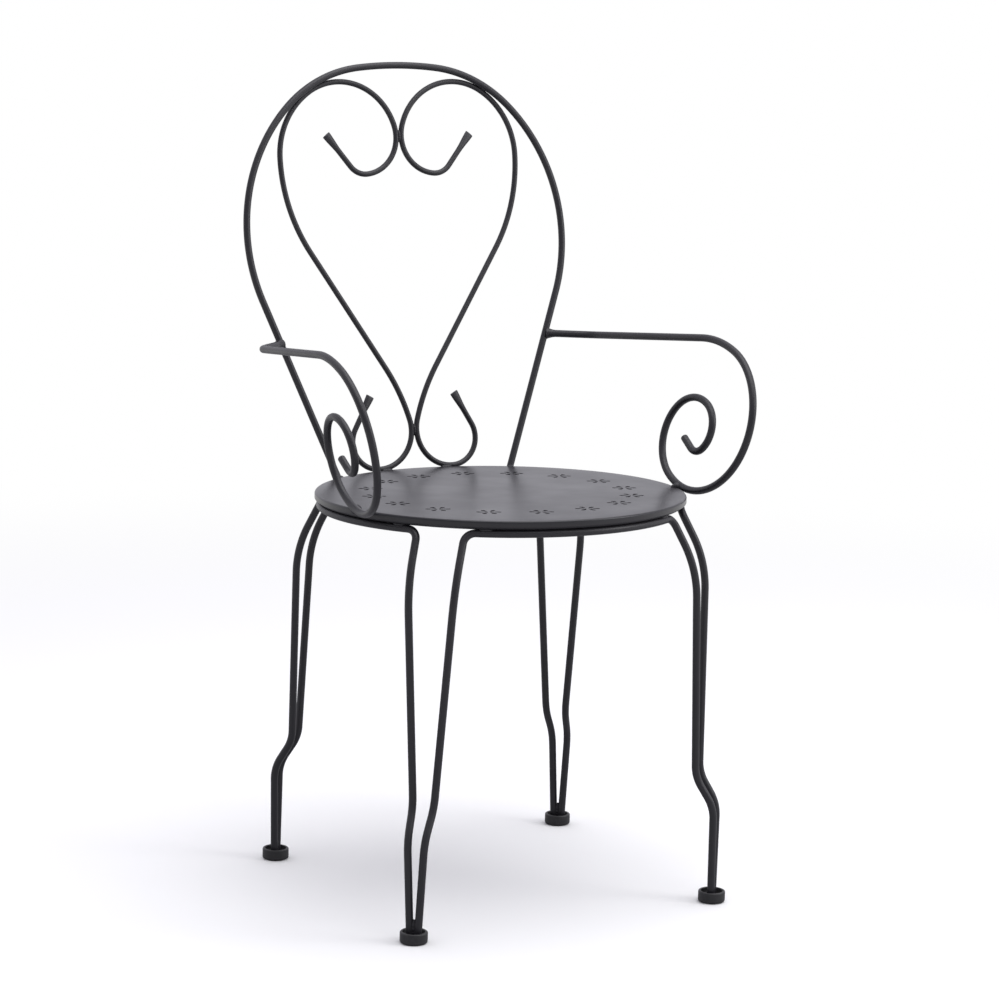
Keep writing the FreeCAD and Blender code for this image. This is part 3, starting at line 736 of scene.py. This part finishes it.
@dataclass
class Finishes:
    """The chair's finishes, made once."""

    rod: bpy.types.Material = field(default_factory=lambda: PowderCoat("powder_coat_on_rod").material())
    sheet: bpy.types.Material = field(default_factory=lambda: PowderCoat(
        "powder_coat_on_sheet", roughness=0.32, peel=2.6, mottle=110.0).material())
    weld: bpy.types.Material = field(default_factory=lambda: PowderCoat(
        "powder_coat_on_weld", roughness=0.46, peel=1.6, relief=0.09).material())
    cap: bpy.types.Material = field(default_factory=lambda: MouldedPlastic("moulded_polyethylene").material())


# Places on the CAD model.


def node_box(node: str) -> tuple[np.ndarray, np.ndarray]:
    """Return the lowest and highest corner of a CAD node in millimetres."""
    low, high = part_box(node)
    return np.array(low) / MM, np.array(high) / MM


def node_centre(node: str) -> np.ndarray:
    """Return the middle of a CAD node's box in millimetres."""
    return np.mean(node_box(node), axis=0)


def node_span(node: str) -> np.ndarray:
    """Return the size of a CAD node's box in millimetres."""
    low, high = node_box(node)
    return high - low


def right_weld(node: str, inset: float) -> np.ndarray:
    """Return the middle of the right one of a mirrored pair of welds.

    Args:
        node: CAD node of the pair.
        inset: Distance from the right end of the node's box to the weld's middle.

    Returns:
        The middle in millimetres.
    """
    low, high = node_box(node)
    middle = (low + high) / 2
    middle[0] = high[0] - inset
    return middle


@dataclass(frozen=True)
class SeatFrame:
    """The frame of the pitched seat.

    Attributes:
        centre: Middle of the seat's top at the height of its rim.
        pitch: Degrees that the seat leans back.
        radius: Radius of the seat.
    """

    centre: np.ndarray
    pitch: float
    radius: float

    @classmethod
    def of_record(cls) -> "SeatFrame":
        """Read the frame from the seat's mount, which is the middle of its top."""
        mount = frame["record"]["mounts"][0]
        normal = np.array(mount["axis"], float)
        pitch = math.degrees(math.atan2(normal[1], normal[2]))
        return cls(np.array(mount["pos_m"], float) / MM, pitch, float(node_span("seat_sheet")[0]) / 2)

    @property
    def foot_axis(self) -> np.ndarray:
        """Point of the floor under the middle of the seat."""
        return self.centre * np.array([1.0, 1.0, 0.0])

    def turned(self, directions: np.ndarray) -> np.ndarray:
        """Return directions of the seat's frame as they lie in the chair's."""
        return directions @ about_x(-self.pitch).T

    def placed(self, points: np.ndarray) -> np.ndarray:
        """Return points of the seat's frame as they lie in the chair's."""
        return self.turned(points) + self.centre


SEAT = SeatFrame.of_record()


@dataclass(frozen=True)
class Rim:
    """The seat's rim, with the rod ring inside it and the frames' arcs under the ring."""

    gauge: float = 1.8
    rounding: float = 2.2
    depth: float = 7.5
    ring_rod: float = 4.0
    frame_rod: float = 4.25
    touch_gap: float = 0.3

    @property
    def ring_radius(self) -> float:
        """Radius of the centre line of the ring and of the arcs under it."""
        return SEAT.radius - self.gauge - self.touch_gap - self.ring_rod

    @property
    def ring_drop(self) -> float:
        """Depth of the ring's centre line below the seat's top."""
        return self.gauge + self.touch_gap + self.ring_rod

    @property
    def frame_drop(self) -> float:
        """Depth of the arcs' centre line below the seat's top."""
        return self.ring_drop + self.ring_rod + self.touch_gap + self.frame_rod


RIM = Rim()


@dataclass(frozen=True)
class LeaningPlane:
    """A plane of the seat's frame that crosses the seat's height behind it and leans back."""

    setback: float
    lean: float

    def placed(self, drawn: np.ndarray) -> np.ndarray:
        """Return points drawn across and up the plane at their places on the chair."""
        flat = np.stack([drawn[:, 0], np.zeros(len(drawn)), drawn[:, 1]], axis=-1)
        return SEAT.placed(flat @ about_x(-self.lean).T + REAR * self.setback)

    @property
    def normal(self) -> np.ndarray:
        """Direction square to the plane, to the rear."""
        return SEAT.turned(about_x(-self.lean) @ REAR)

    @property
    def upward(self) -> np.ndarray:
        """Direction up the plane."""
        return SEAT.turned(about_x(-self.lean) @ UP)


@dataclass
class Back:
    """The round hoop and the pair of scrolls inside it, with the welds between them."""

    finishes: Finishes
    hoop_radius: float = 4.0
    hoop_plane: LeaningPlane = LeaningPlane(setback=183.545, lean=10.1)
    hoop_start: tuple = (111.0, -8.0)
    hoop_heading: float = 69.0
    hoop_rise: Run = Run(227.0)
    hoop_side: Bend = Bend(209.0, 66.2)
    hoop_shoulder: Bend = Bend(159.0, 38.5)
    scroll_radius: float = 3.25
    scroll_plane: LeaningPlane = LeaningPlane(setback=206.641, lean=7.839)
    scroll_start: tuple = (94.304, 391.656)
    scroll_heading: float = 231.365
    scroll_tip: Run = Run(47.6)
    scroll_curl: Bend = Bend(24.3, -56.6)
    scroll_eye: Bend = Bend(44.0, -101.7)
    scroll_crown: Bend = Bend(71.7, -105.5)
    scroll_shoulder: Bend = Bend(90.5, -57.5)
    scroll_flank: Bend = Bend(201.2, -33.0)
    scroll_long_run: Run = Run(162.545)
    scroll_waist: Bend = Bend(236.2, 16.6)
    scroll_heel: Bend = Bend(44.1, 112.9)
    scroll_foot: Bend = Bend(32.0, 113.3)
    scroll_end: Run = Run(43.5)
    tip: Tip = Tip()
    hoop_bead_inset: float = 5.0
    hoop_bead_slope: float = 0.95

    def hoop_line(self) -> np.ndarray:
        """Return the hoop's centre line from the right foot over to the left foot."""
        rise = [self.hoop_rise, self.hoop_side, self.hoop_shoulder]
        half = chain(self.hoop_start, self.hoop_heading, rise)
        left = 180.0 - self.hoop_heading - self.hoop_side.turn - self.hoop_shoulder.turn
        crown = Bend(half[-1, 0] / math.sin(math.radians(left)), 2 * left)
        whole = chain(self.hoop_start, self.hoop_heading, rise + [crown] + rise[::-1])
        return self.hoop_plane.placed(whole)

    def scroll_line(self) -> np.ndarray:
        """Return the right scroll's centre line from its upper tip to its lower tip."""
        moves = [self.scroll_tip, self.scroll_curl, self.scroll_eye, self.scroll_crown,
                 self.scroll_shoulder, self.scroll_flank, self.scroll_long_run, self.scroll_waist,
                 self.scroll_heel, self.scroll_foot, self.scroll_end]
        drawn = chain(self.scroll_start, self.scroll_heading, moves)
        return self.scroll_plane.placed(drawn)

    def build(self) -> None:
        """Make the hoop, the scrolls and their welds."""
        hoop = Rod(self.hoop_line(), self.hoop_radius, self.hoop_plane.normal)
        place("hoop_rod", [hoop.shell()], self.finishes.rod, ["back_hoop"])
        normal, upward = self.scroll_plane.normal, self.scroll_plane.upward
        scroll = Rod(self.scroll_line(), self.scroll_radius, normal, near_tip=self.tip, far_tip=self.tip)
        shell = scroll.shell()
        place("right_scroll_rod", [shell], self.finishes.rod, ["scroll_right"])
        place("left_scroll_rod", [flipped(shell)], self.finishes.rod, ["scroll_left"])
        for name in ("weld_scrolls_upper", "weld_scrolls_lower"):
            bead = Bead(node_centre(name), upward, normal, width=5.0, height=7.2)
            place(name + "_bead", [bead.shell()], self.finishes.weld, [name])
        middle = right_weld("weld_scroll_hoop", self.hoop_bead_inset)
        bead = Bead(middle, SIDE - self.hoop_bead_slope * upward, normal, width=5.2, height=8.2)
        place("weld_scroll_hoop_bead", both(bead.shell()), self.finishes.weld, ["weld_scroll_hoop"])


@dataclass
class Arms:
    """The two armrests, each one rod from the hoop forward and down into a curl."""

    finishes: Finishes
    radius: float = 4.25
    beside: float = 201.032
    yaw: float = 6.1
    lean: float = 12.6
    joint: tuple = (175.606, 208.607, 152.207)
    corner: tuple = (167.1, 156.1)
    corner_bend: float = 33.8
    rest_angle: float = 175.6
    rest: Run = Run(202.5)
    brow: Bend = Bend(137.8, 26.8)
    front: Bend = Bend(86.0, 86.9)
    under: Bend = Bend(81.8, 104.2)
    heel: Bend = Bend(50.7, 103.0)
    inner: Bend = Bend(44.0, 72.7)
    curl: Bend = Bend(31.4, 66.4)
    eye: Bend = Bend(31.2, 42.0)
    tip_bend: Bend = Bend(16.4, 76.6)
    tip: Run = Run(18.8)
    seat_bead_inset: float = 6.5
    seat_bead_slope: float = 0.5

    @property
    def tilt(self) -> np.ndarray:
        """Turn of the armrest's plane in the seat's frame."""
        return about_z(self.yaw) @ about_y(self.lean)

    def line(self) -> np.ndarray:
        """Return the right armrest's centre line from the hoop to the tip of its curl."""
        moves = [self.rest, self.brow, self.front, self.under, self.heel, self.inner, self.curl,
                 self.eye, self.tip_bend, self.tip]
        drawn = chain(self.corner, self.rest_angle, moves)
        flat = np.stack([np.zeros(len(drawn)), drawn[:, 0], drawn[:, 1]], axis=-1) @ self.tilt.T
        flat = flat + SIDE * self.beside
        travel = np.cumsum(np.linalg.norm(np.diff(flat, axis=0), axis=1))
        rest_end = int(np.argmax(travel > self.rest.length - 0.01)) + 1
        start = rounded(np.array([self.joint, flat[0], flat[rest_end]]), [self.corner_bend])
        return SEAT.placed(np.vstack([start, flat[rest_end + 1:]]))

    def build(self) -> None:
        """Make both armrests, their fillets on the hoop and their beads on the seat."""
        line = self.line()
        across = SEAT.turned(self.tilt @ SIDE)
        shell = Rod(line, self.radius, across).shell()
        place("right_arm_rod", [shell], self.finishes.rod, ["arm_right"])
        place("left_arm_rod", [flipped(shell)], self.finishes.rod, ["arm_left"])
        ahead = unit(line[1] - line[0])
        fillet = Fillet(line[0], ahead, across, self.radius)
        place("weld_arm_hoop_fillets", both(fillet.shell()), self.finishes.weld, ["weld_arm_hoop"])
        middle = right_weld("weld_arm_seat", self.seat_bead_inset)
        seam = SEAT.turned(REAR - self.seat_bead_slope * UP)
        bead = Bead(middle, seam, UP, length=15.0, width=10.5, height=9.0, ripples=4)
        place("weld_arm_seat_beads", both(bead.shell()), self.finishes.weld, ["weld_arm_seat"])


@dataclass
class Legs:
    """The four U-shaped frames under the rim; two rods come together in each foot."""

    finishes: Finishes
    bearing: float = 47.1
    foot_circle: float = 257.6
    foot_spread: float = 4.4
    outer_knee: tuple = (9.6, 110.6)
    inner_knee: tuple = (236.2, 12.0, 144.9)
    shoulder: tuple = (230.6, 26.4, 70.8)
    bends: tuple = (48.3, 45.4, 129.5, 14.0)
    rim_arc_start: float = 11.0
    rim_corner_run: float = 12.0
    foot_level: float = 2.5
    weld_turn: float = 3.0
    foot_weld_height: float = 17.0
    weld_overlap: float = 2.0
    puddle_rise: float = 0.4

    def foot_bearing(self, number: int) -> float:
        """Return the direction of a foot in degrees, counted from the rear right foot."""
        return 90.0 * number - self.bearing if number % 2 else 90.0 * (number - 1) + self.bearing

    def corners(self, degrees: float, side: float) -> np.ndarray:
        """Return the corners of one leg rod at a bearing.

        The foot and the knees stand over the floor; the rest hangs under the seat.

        Args:
            degrees: Bearing of the foot.
            side: 1 or -1 along the rim.

        Returns:
            Six corners from the foot up to the rim.
        """
        start = math.radians(self.rim_arc_start)
        along_rim = np.array([math.cos(start), side * math.sin(start), 0.0])
        on_rim = along_rim * RIM.ring_radius - UP * RIM.frame_drop
        along = np.array([-math.sin(start), side * math.cos(start), 0.0])
        standing = np.array([(self.foot_circle, self.foot_spread, self.foot_level),
                             (self.foot_circle, *self.outer_knee), self.inner_knee])
        reach, spread, drop = self.shoulder
        hanging = np.array([(reach, side * spread, -drop), on_rim - along * self.rim_corner_run, on_rim])
        turn = about_z(degrees).T
        lower = (standing * np.array([1.0, side, 1.0])) @ turn + SEAT.foot_axis
        return np.vstack([lower, SEAT.placed(hanging @ turn)])

    def line(self, first: int, second: int) -> np.ndarray:
        """Return a frame's centre line from one foot, under the rim, to the next foot.

        Args:
            first: Number of the foot where the line starts.
            second: Number of the foot where it ends.

        Returns:
            Points along the line.
        """
        near, far = self.foot_bearing(first), self.foot_bearing(second)
        rise = rounded(self.corners(near, 1.0), self.bends)
        fall = rounded(self.corners(far, -1.0), self.bends)
        turn = np.radians(np.linspace(near + self.rim_arc_start, far - self.rim_arc_start, 160))[1:-1]
        arc = np.stack([RIM.ring_radius * np.cos(turn), RIM.ring_radius * np.sin(turn),
                        np.full(len(turn), -RIM.frame_drop)], axis=-1)
        return np.vstack([rise, SEAT.placed(arc), fall[::-1]])

    def build(self) -> None:
        """Make the frames, the welds under the ring and the welds at the feet."""
        frames = {"rear": (1, 2), "left": (2, 3), "front": (3, 4), "right": (4, 5)}
        for name, feet in frames.items():
            line = self.line(*feet)
            outward = unit((line - SEAT.foot_axis) * np.array([1.0, 1.0, 0.0]))
            place(f"{name}_frame_rod", [Rod(line, RIM.frame_rod, outward).shell()], self.finishes.rod,
                  [f"leg_frame_{name}"])
        self.ring_welds()
        for foot in Foot:
            self.foot_weld(foot)

    def ring_welds(self) -> None:
        """Make the beads that hold the frames under the ring."""
        beads = []
        drop = RIM.frame_drop - RIM.frame_rod
        for foot in Foot:
            for side in (-1.0, 1.0):
                turn = about_z(self.foot_bearing(foot.value) + side * (self.rim_arc_start + self.weld_turn))
                centre = SEAT.placed(turn @ SIDE * RIM.ring_radius - UP * drop)
                beads.append(Bead(centre, SEAT.turned(turn @ REAR), UP, length=15.0, width=7.6,
                                  height=5.0, ripples=6).shell())
        place("ring_weld_beads", beads, self.finishes.weld, ["weld_leg_ring"])

    def foot_weld(self, foot: Foot) -> None:
        """Make the bead between the two rods of a foot and the one round them on the disc.

        Args:
            foot: The foot to weld.
        """
        turn = about_z(self.foot_bearing(foot.value))
        spoke, across = turn @ SIDE, turn @ REAR
        top = float(node_box(f"foot_disc_{foot.label}")[1][2])
        base = SEAT.foot_axis + spoke * self.foot_circle + UP * top
        spare = 2 * self.weld_overlap
        seam = Bead(base + UP * self.foot_weld_height / 2, UP, spoke,
                    length=self.foot_weld_height + spare, width=6.4, height=6.6)
        puddle = Bead(base + UP * self.puddle_rise, across, UP,
                      length=2 * (self.foot_spread + RIM.frame_rod) + spare,
                      width=11.5, height=3.2, ripples=1)
        place(f"foot_weld_{foot.label}_bead", [seam.shell(), puddle.shell()], self.finishes.weld,
              [f"foot_weld_{foot.label}"])


@dataclass
class Feet:
    """The plastic caps of the four feet and the steel discs in them."""

    finishes: Finishes
    wall: float = 3.0
    outer_round: float = 2.2
    lip_round: float = 1.2
    floor: float = 2.5

    def cap(self, foot: Foot) -> Shell:
        """Spin the cap's profile: a flat sole, a rounded wall and a recess for the disc.

        Args:
            foot: The foot that the cap is for.

        Returns:
            The closed cap.
        """
        node = f"foot_cap_{foot.label}"
        radius, height = float(node_span(node)[0]) / 2, float(node_span(node)[2])
        centre = node_centre(node) * np.array([1.0, 1.0, 0.0])
        inside = radius - self.wall
        top_round = self.wall - self.lip_round
        profile = np.vstack([
            [[0.0, 0.0], [radius * 0.5, 0.0]],
            quarter((radius - self.outer_round, self.outer_round), self.outer_round, -90.0, 0.0, 9),
            quarter((radius - top_round, height - top_round), top_round, 0.0, 90.0, 9),
            quarter((inside + self.lip_round, height - self.lip_round), self.lip_round, 90.0, 180.0, 6),
            [[inside, self.floor], [0.0, self.floor]],
        ])
        return spun(profile, centre)

    def build(self) -> None:
        """Make the caps and dress the discs."""
        for foot in Foot:
            place(f"{foot.label}_cap", [self.cap(foot)], self.finishes.cap, [f"foot_cap_{foot.label}"],
                  Slot.FOOT_CAP)
            dress(f"foot_disc_{foot.label}", self.finishes.rod)


def dress(node: str, material: bpy.types.Material) -> None:
    """Give a carried-over CAD node a material in all its slots."""
    mesh = frame["nodes"][node].data
    if not mesh.materials:
        mesh.materials.append(material)
    for index in range(len(mesh.materials)):
        mesh.materials[index] = material


@dataclass
class Seat:
    """The flat sheet seat with its turned-down rim and flower cut-outs, and its ring."""

    finishes: Finishes
    flowers: int = 16
    flower_circle: float = 147.0
    petals: int = 6
    petal_inner: float = 1.6
    petal_outer: float = 13.8
    petal_width: float = 4.9
    petal_turn: float = 36.0
    ring_coat: float = 0.25
    sharp_edge: float = 40.0

    def blank(self) -> Shell:
        """Spin the sheet's profile.

        The top runs flat to the edge, rolls over a quarter circle and drops to a rounded
        hem; the underside follows a gauge below.
        """
        edge = SEAT.radius
        roll = (edge - RIM.rounding, -RIM.rounding)
        hem = RIM.gauge / 2
        rings = np.linspace(0.0, edge - RIM.rounding, 12)[:-1]
        top = np.stack([rings, np.zeros(len(rings))], axis=-1)
        profile = np.vstack([
            top,
            quarter(roll, RIM.rounding, 90.0, 0.0, 11),
            quarter((edge - hem, hem - RIM.depth), hem, 0.0, -180.0, 11),
            quarter(roll, RIM.rounding - RIM.gauge, 0.0, 90.0, 5),
            top[::-1] - np.array([0.0, RIM.gauge]),
        ])
        flat = spun(profile[::-1], np.zeros(3), sides=240)
        return Shell(SEAT.placed(flat.points), flat.faces, flat.end_highlight)

    def build(self) -> None:
        """Make the seat, cut its flowers and make its ring.

        The ring is a little thicker than the bare rod, so that its coat closes the gap to
        the frames.
        """
        piece = place("seat_disc", [self.blank()], self.finishes.sheet, ["seat_sheet"])
        cutter = self.cutter_object()
        cut = piece.modifiers.new("flowers", "BOOLEAN")
        cut.operation = "DIFFERENCE"
        cut.solver = "EXACT"
        cut.object = cutter
        depsgraph = bpy.context.evaluated_depsgraph_get()
        finished = bpy.data.meshes.new_from_object(piece.evaluated_get(depsgraph))
        piece.modifiers.clear()
        piece.data = finished
        bpy.data.objects.remove(cutter)
        finished.shade_smooth()
        finished.set_sharp_from_angle(angle=math.radians(self.sharp_edge))
        LOG.info("seat_disc cut: %d faces", len(finished.polygons))
        ring = rod_ring(RIM.ring_radius, RIM.ring_rod + self.ring_coat, RIM.ring_drop)
        place("seat_ring_rod", [ring], self.finishes.rod, ["seat_ring"])

    def cutter_object(self) -> bpy.types.Object:
        """Return an object with the upright bars that cut every petal.

        A petal is a drop: two straight sides from its root touch the circle at its tip.
        """
        half = self.petal_width / 2
        reach = self.petal_outer - half - self.petal_inner
        opening = math.degrees(math.asin(half / reach))
        tip = quarter((self.petal_inner + reach, 0.0), half, -90.0 - opening, 90.0 + opening, 19)
        outline = np.vstack([[[self.petal_inner, 0.0]], tip])
        petal_turn = np.radians(self.petal_turn + 360.0 / self.petals * np.arange(self.petals))
        flower_turn = np.radians(360.0 / self.flowers * (np.arange(self.flowers) + 0.5))
        centre_x = (self.flower_circle * np.cos(flower_turn))[:, None, None]
        centre_y = (self.flower_circle * np.sin(flower_turn))[:, None, None]
        cosine, sine = np.cos(petal_turn)[None, :, None], np.sin(petal_turn)[None, :, None]
        x = centre_x + cosine * outline[:, 0] - sine * outline[:, 1]
        y = centre_y + sine * outline[:, 0] + cosine * outline[:, 1]
        x, y = x.reshape(-1, len(outline)), y.reshape(-1, len(outline))
        count = len(outline)
        levels = (-3 * RIM.gauge, 3 * RIM.gauge)
        bars = np.stack([np.stack([x, y, np.full_like(x, level)], axis=-1) for level in levels], axis=1)
        points = SEAT.placed(bars.reshape(-1, 3)) * MM
        ring = np.arange(count)
        after = (ring + 1) % count
        walls = np.stack([ring, after, after + count, ring + count], axis=-1)
        faces = []
        for number in range(len(x)):
            first = number * 2 * count
            faces += (walls + first).tolist()
            faces += [(ring[::-1] + first).tolist(), (ring + count + first).tolist()]
        mesh = bpy.data.meshes.new("petal_bars")
        mesh.from_pydata(points, [], faces)
        mesh.update()
        cutter = bpy.data.objects.new("petal_bars", mesh)
        bpy.context.scene.collection.objects.link(cutter)
        return cutter


@dataclass
class SeatWelds:
    """The beads that join the back to the seat rim."""

    finishes: Finishes
    hoop_inset: float = 3.0
    scroll_inset: float = 7.0

    def build(self) -> None:
        """Make the beads at the hoop's feet and under the scrolls."""
        middle = right_weld("weld_hoop_seat", self.hoop_inset)
        hoop = Bead(middle, SEAT.turned(UP), SIDE, length=11.0, width=7.4, height=8.4)
        place("hoop_seat_beads", both(hoop.shell()), self.finishes.weld, ["weld_hoop_seat"])
        middle = right_weld("weld_scroll_seat", self.scroll_inset)
        scroll = Bead(middle, SIDE, UP, length=14.0, width=6.4, height=5.4)
        place("scroll_seat_beads", both(scroll.shell()), self.finishes.weld, ["weld_scroll_seat"])


@dataclass(frozen=True)
class SoftLamp:
    """A square soft lamp: its place and the point that it faces in metres, side and watts."""

    at: tuple
    toward: tuple
    width: float
    watts: float


@dataclass
class Studio:
    """A plain pale floor, soft lamps and the camera."""

    azimuth: float = -28.87
    elevation: float = 8.71
    roll: float = 0.80
    distance: float = 3750.4
    focal_pixels: float = 3343.1
    image_height: float = 1000.0
    shift_side: float = 1.13
    shift_up: float = 9.05
    sensor: float = 36.0
    floor_radius: float = 9.0
    fade_start: float = 0.9
    fade_end: float = 2.6
    floor_gap: float = 0.0004
    floor_seen: str = "#fdfdfd"
    floor_bounce: str = "#b4b4b6"
    sky: str = "#f8f7ff"
    bright_side: tuple = (0.38, 0.72, 0.58)
    dim_level: float = 0.36
    bright_level: float = 0.92
    overhead: SoftLamp = SoftLamp((0.3, -0.4, 2.6), (0.0, 0.0, 0.4), 2.2, 34.0)
    key: SoftLamp = SoftLamp((2.2, -1.9, 1.7), (0.0, 0.0, 0.5), 1.2, 22.0)

    def build(self) -> None:
        """Make the floor, the world, the lamps and the camera."""
        self.floor()
        self.world()
        self.lamps()
        self.camera()
        scene = bpy.context.scene
        scene.view_settings.view_transform = "Standard"

    def floor(self) -> None:
        """Lay a pale disc that fades to plain white away from the chair.

        The camera sees it nearly white, and it throws back less light than it shows.
        """
        mesh = bpy.data.meshes.new("studio_floor")
        turn = np.linspace(0.0, 2 * math.pi, 96, endpoint=False)
        points = np.stack([self.floor_radius * np.cos(turn), self.floor_radius * np.sin(turn),
                           np.full(len(turn), -self.floor_gap)], axis=-1)
        mesh.from_pydata(points, [], [list(range(len(turn)))])
        material, tree = blank_material("pale_floor")
        where = add_node(tree, "ShaderNodeTexCoord").outputs["Object"]
        far = add_node(tree, "ShaderNodeVectorMath", {0: where}, operation="LENGTH")
        fade = add_node(tree, "ShaderNodeMapRange",
                        {"Value": far.outputs["Value"], "From Min": self.fade_start,
                         "From Max": self.fade_end}, interpolation_type="SMOOTHSTEP")
        path = add_node(tree, "ShaderNodeLightPath")
        seen = add_node(tree, "ShaderNodeMath", {0: path.outputs["Is Camera Ray"],
                                                 1: path.outputs["Is Glossy Ray"]}, operation="MAXIMUM")
        share = add_node(tree, "ShaderNodeMath", {0: seen.outputs["Value"], 1: fade.outputs["Result"]},
                         operation="MULTIPLY")
        tone = add_node(tree, "ShaderNodeMix",
                        {"Factor": path.outputs["Is Camera Ray"], "A": linear(self.floor_bounce),
                         "B": linear(self.floor_seen)}, data_type="RGBA")
        paint = add_node(tree, "ShaderNodeBsdfDiffuse", {"Color": tone.outputs["Result"]})
        glow = add_node(tree, "ShaderNodeEmission", {"Color": (1.0, 1.0, 1.0, 1.0), "Strength": 1.0})
        mixed = add_node(tree, "ShaderNodeMixShader", {0: share.outputs["Value"], 1: paint.outputs["BSDF"],
                                                       2: glow.outputs["Emission"]})
        add_node(tree, "ShaderNodeOutputMaterial", {"Surface": mixed.outputs["Shader"]})
        mesh.materials.append(material)
        floor = bpy.data.objects.new("studio_floor", mesh)
        bpy.context.scene.collection.objects.link(floor)

    def world(self) -> None:
        """Light softly from all round, most from above and behind, before plain white."""
        world = bpy.data.worlds.new("studio")
        world.use_nodes = True
        tree = world.node_tree
        tree.nodes.clear()
        path = add_node(tree, "ShaderNodeLightPath")
        aim = add_node(tree, "ShaderNodeTexCoord")
        facing = add_node(tree, "ShaderNodeVectorMath", {0: aim.outputs["Generated"], 1: self.bright_side},
                          operation="DOT_PRODUCT")
        level = add_node(tree, "ShaderNodeMapRange",
                         {"Value": facing.outputs["Value"], "From Min": -0.6, "From Max": 0.8,
                         "To Min": self.dim_level, "To Max": self.bright_level},
                        interpolation_type="SMOOTHSTEP")
        soft = add_node(tree, "ShaderNodeBackground",
                        {"Color": linear(self.sky), "Strength": level.outputs["Result"]})
        plain = add_node(tree, "ShaderNodeBackground", {"Color": (1.0, 1.0, 1.0, 1.0), "Strength": 1.0})
        mixed = add_node(tree, "ShaderNodeMixShader", {0: path.outputs["Is Camera Ray"],
                                                       1: soft.outputs["Background"],
                                                       2: plain.outputs["Background"]})
        add_node(tree, "ShaderNodeOutputWorld", {"Surface": mixed.outputs["Shader"]})
        bpy.context.scene.world = world

    def lamps(self) -> None:
        """Hang a large soft lamp above and one to the right of the camera."""
        for name, lamp in (("overhead", self.overhead), ("key", self.key)):
            light = bpy.data.lights.new(name, "AREA")
            light.shape = "SQUARE"
            light.size = lamp.width
            light.energy = lamp.watts
            hung = bpy.data.objects.new(name, light)
            at = np.array(lamp.at)
            hung.matrix_world = aimed(at, unit(at - np.array(lamp.toward)), UP)
            bpy.context.scene.collection.objects.link(hung)

    def camera(self) -> None:
        """Set the camera at the angle of the photograph, which is measured from the seat."""
        turn, rise, roll = (math.radians(value) for value in (self.azimuth, self.elevation, self.roll))
        level_back = np.array([math.sin(turn), -math.cos(turn), 0.0])
        back = level_back * math.cos(rise) + UP * math.sin(rise)
        right = np.array([math.cos(turn), math.sin(turn), 0.0])
        upward = np.cross(back, right)
        target = -right * self.shift_side - upward * self.shift_up
        lens = bpy.data.cameras.new("camera")
        lens.sensor_width = self.sensor
        lens.lens = self.focal_pixels * self.sensor / self.image_height
        lens.clip_end = 100.0
        camera = bpy.data.objects.new("camera", lens)
        tilted = -math.sin(roll) * right + math.cos(roll) * upward
        at = SEAT.placed(target + back * self.distance)
        camera.matrix_world = aimed(at * MM, SEAT.turned(back), SEAT.turned(tilted))
        bpy.context.scene.collection.objects.link(camera)
        bpy.context.scene.camera = camera


def aimed(at: np.ndarray, back: np.ndarray, upward: np.ndarray) -> Matrix:
    """Return the matrix of a lamp or camera.

    Args:
        at: Place in metres.
        back: Direction away from what it looks at.
        upward: Direction that is up in its picture.

    Returns:
        The matrix of its place and turn.
    """
    right = unit(np.cross(upward, back))
    true_up = np.cross(back, right)
    matrix = np.eye(4)
    matrix[:3, 0], matrix[:3, 1], matrix[:3, 2], matrix[:3, 3] = right, true_up, back, at
    return Matrix(matrix.tolist())


def main() -> None:
    """Build the chair around the frame, then the studio."""
    logging.basicConfig(level=logging.INFO, format="%(message)s")
    finishes = Finishes()
    for part in (Back(finishes), Arms(finishes), Legs(finishes), Feet(finishes), Seat(finishes),
                 SeatWelds(finishes)):
        part.build()
        LOG.info("%s done", type(part).__name__)
    Studio().build()


if __name__ == "__main__":
    main()
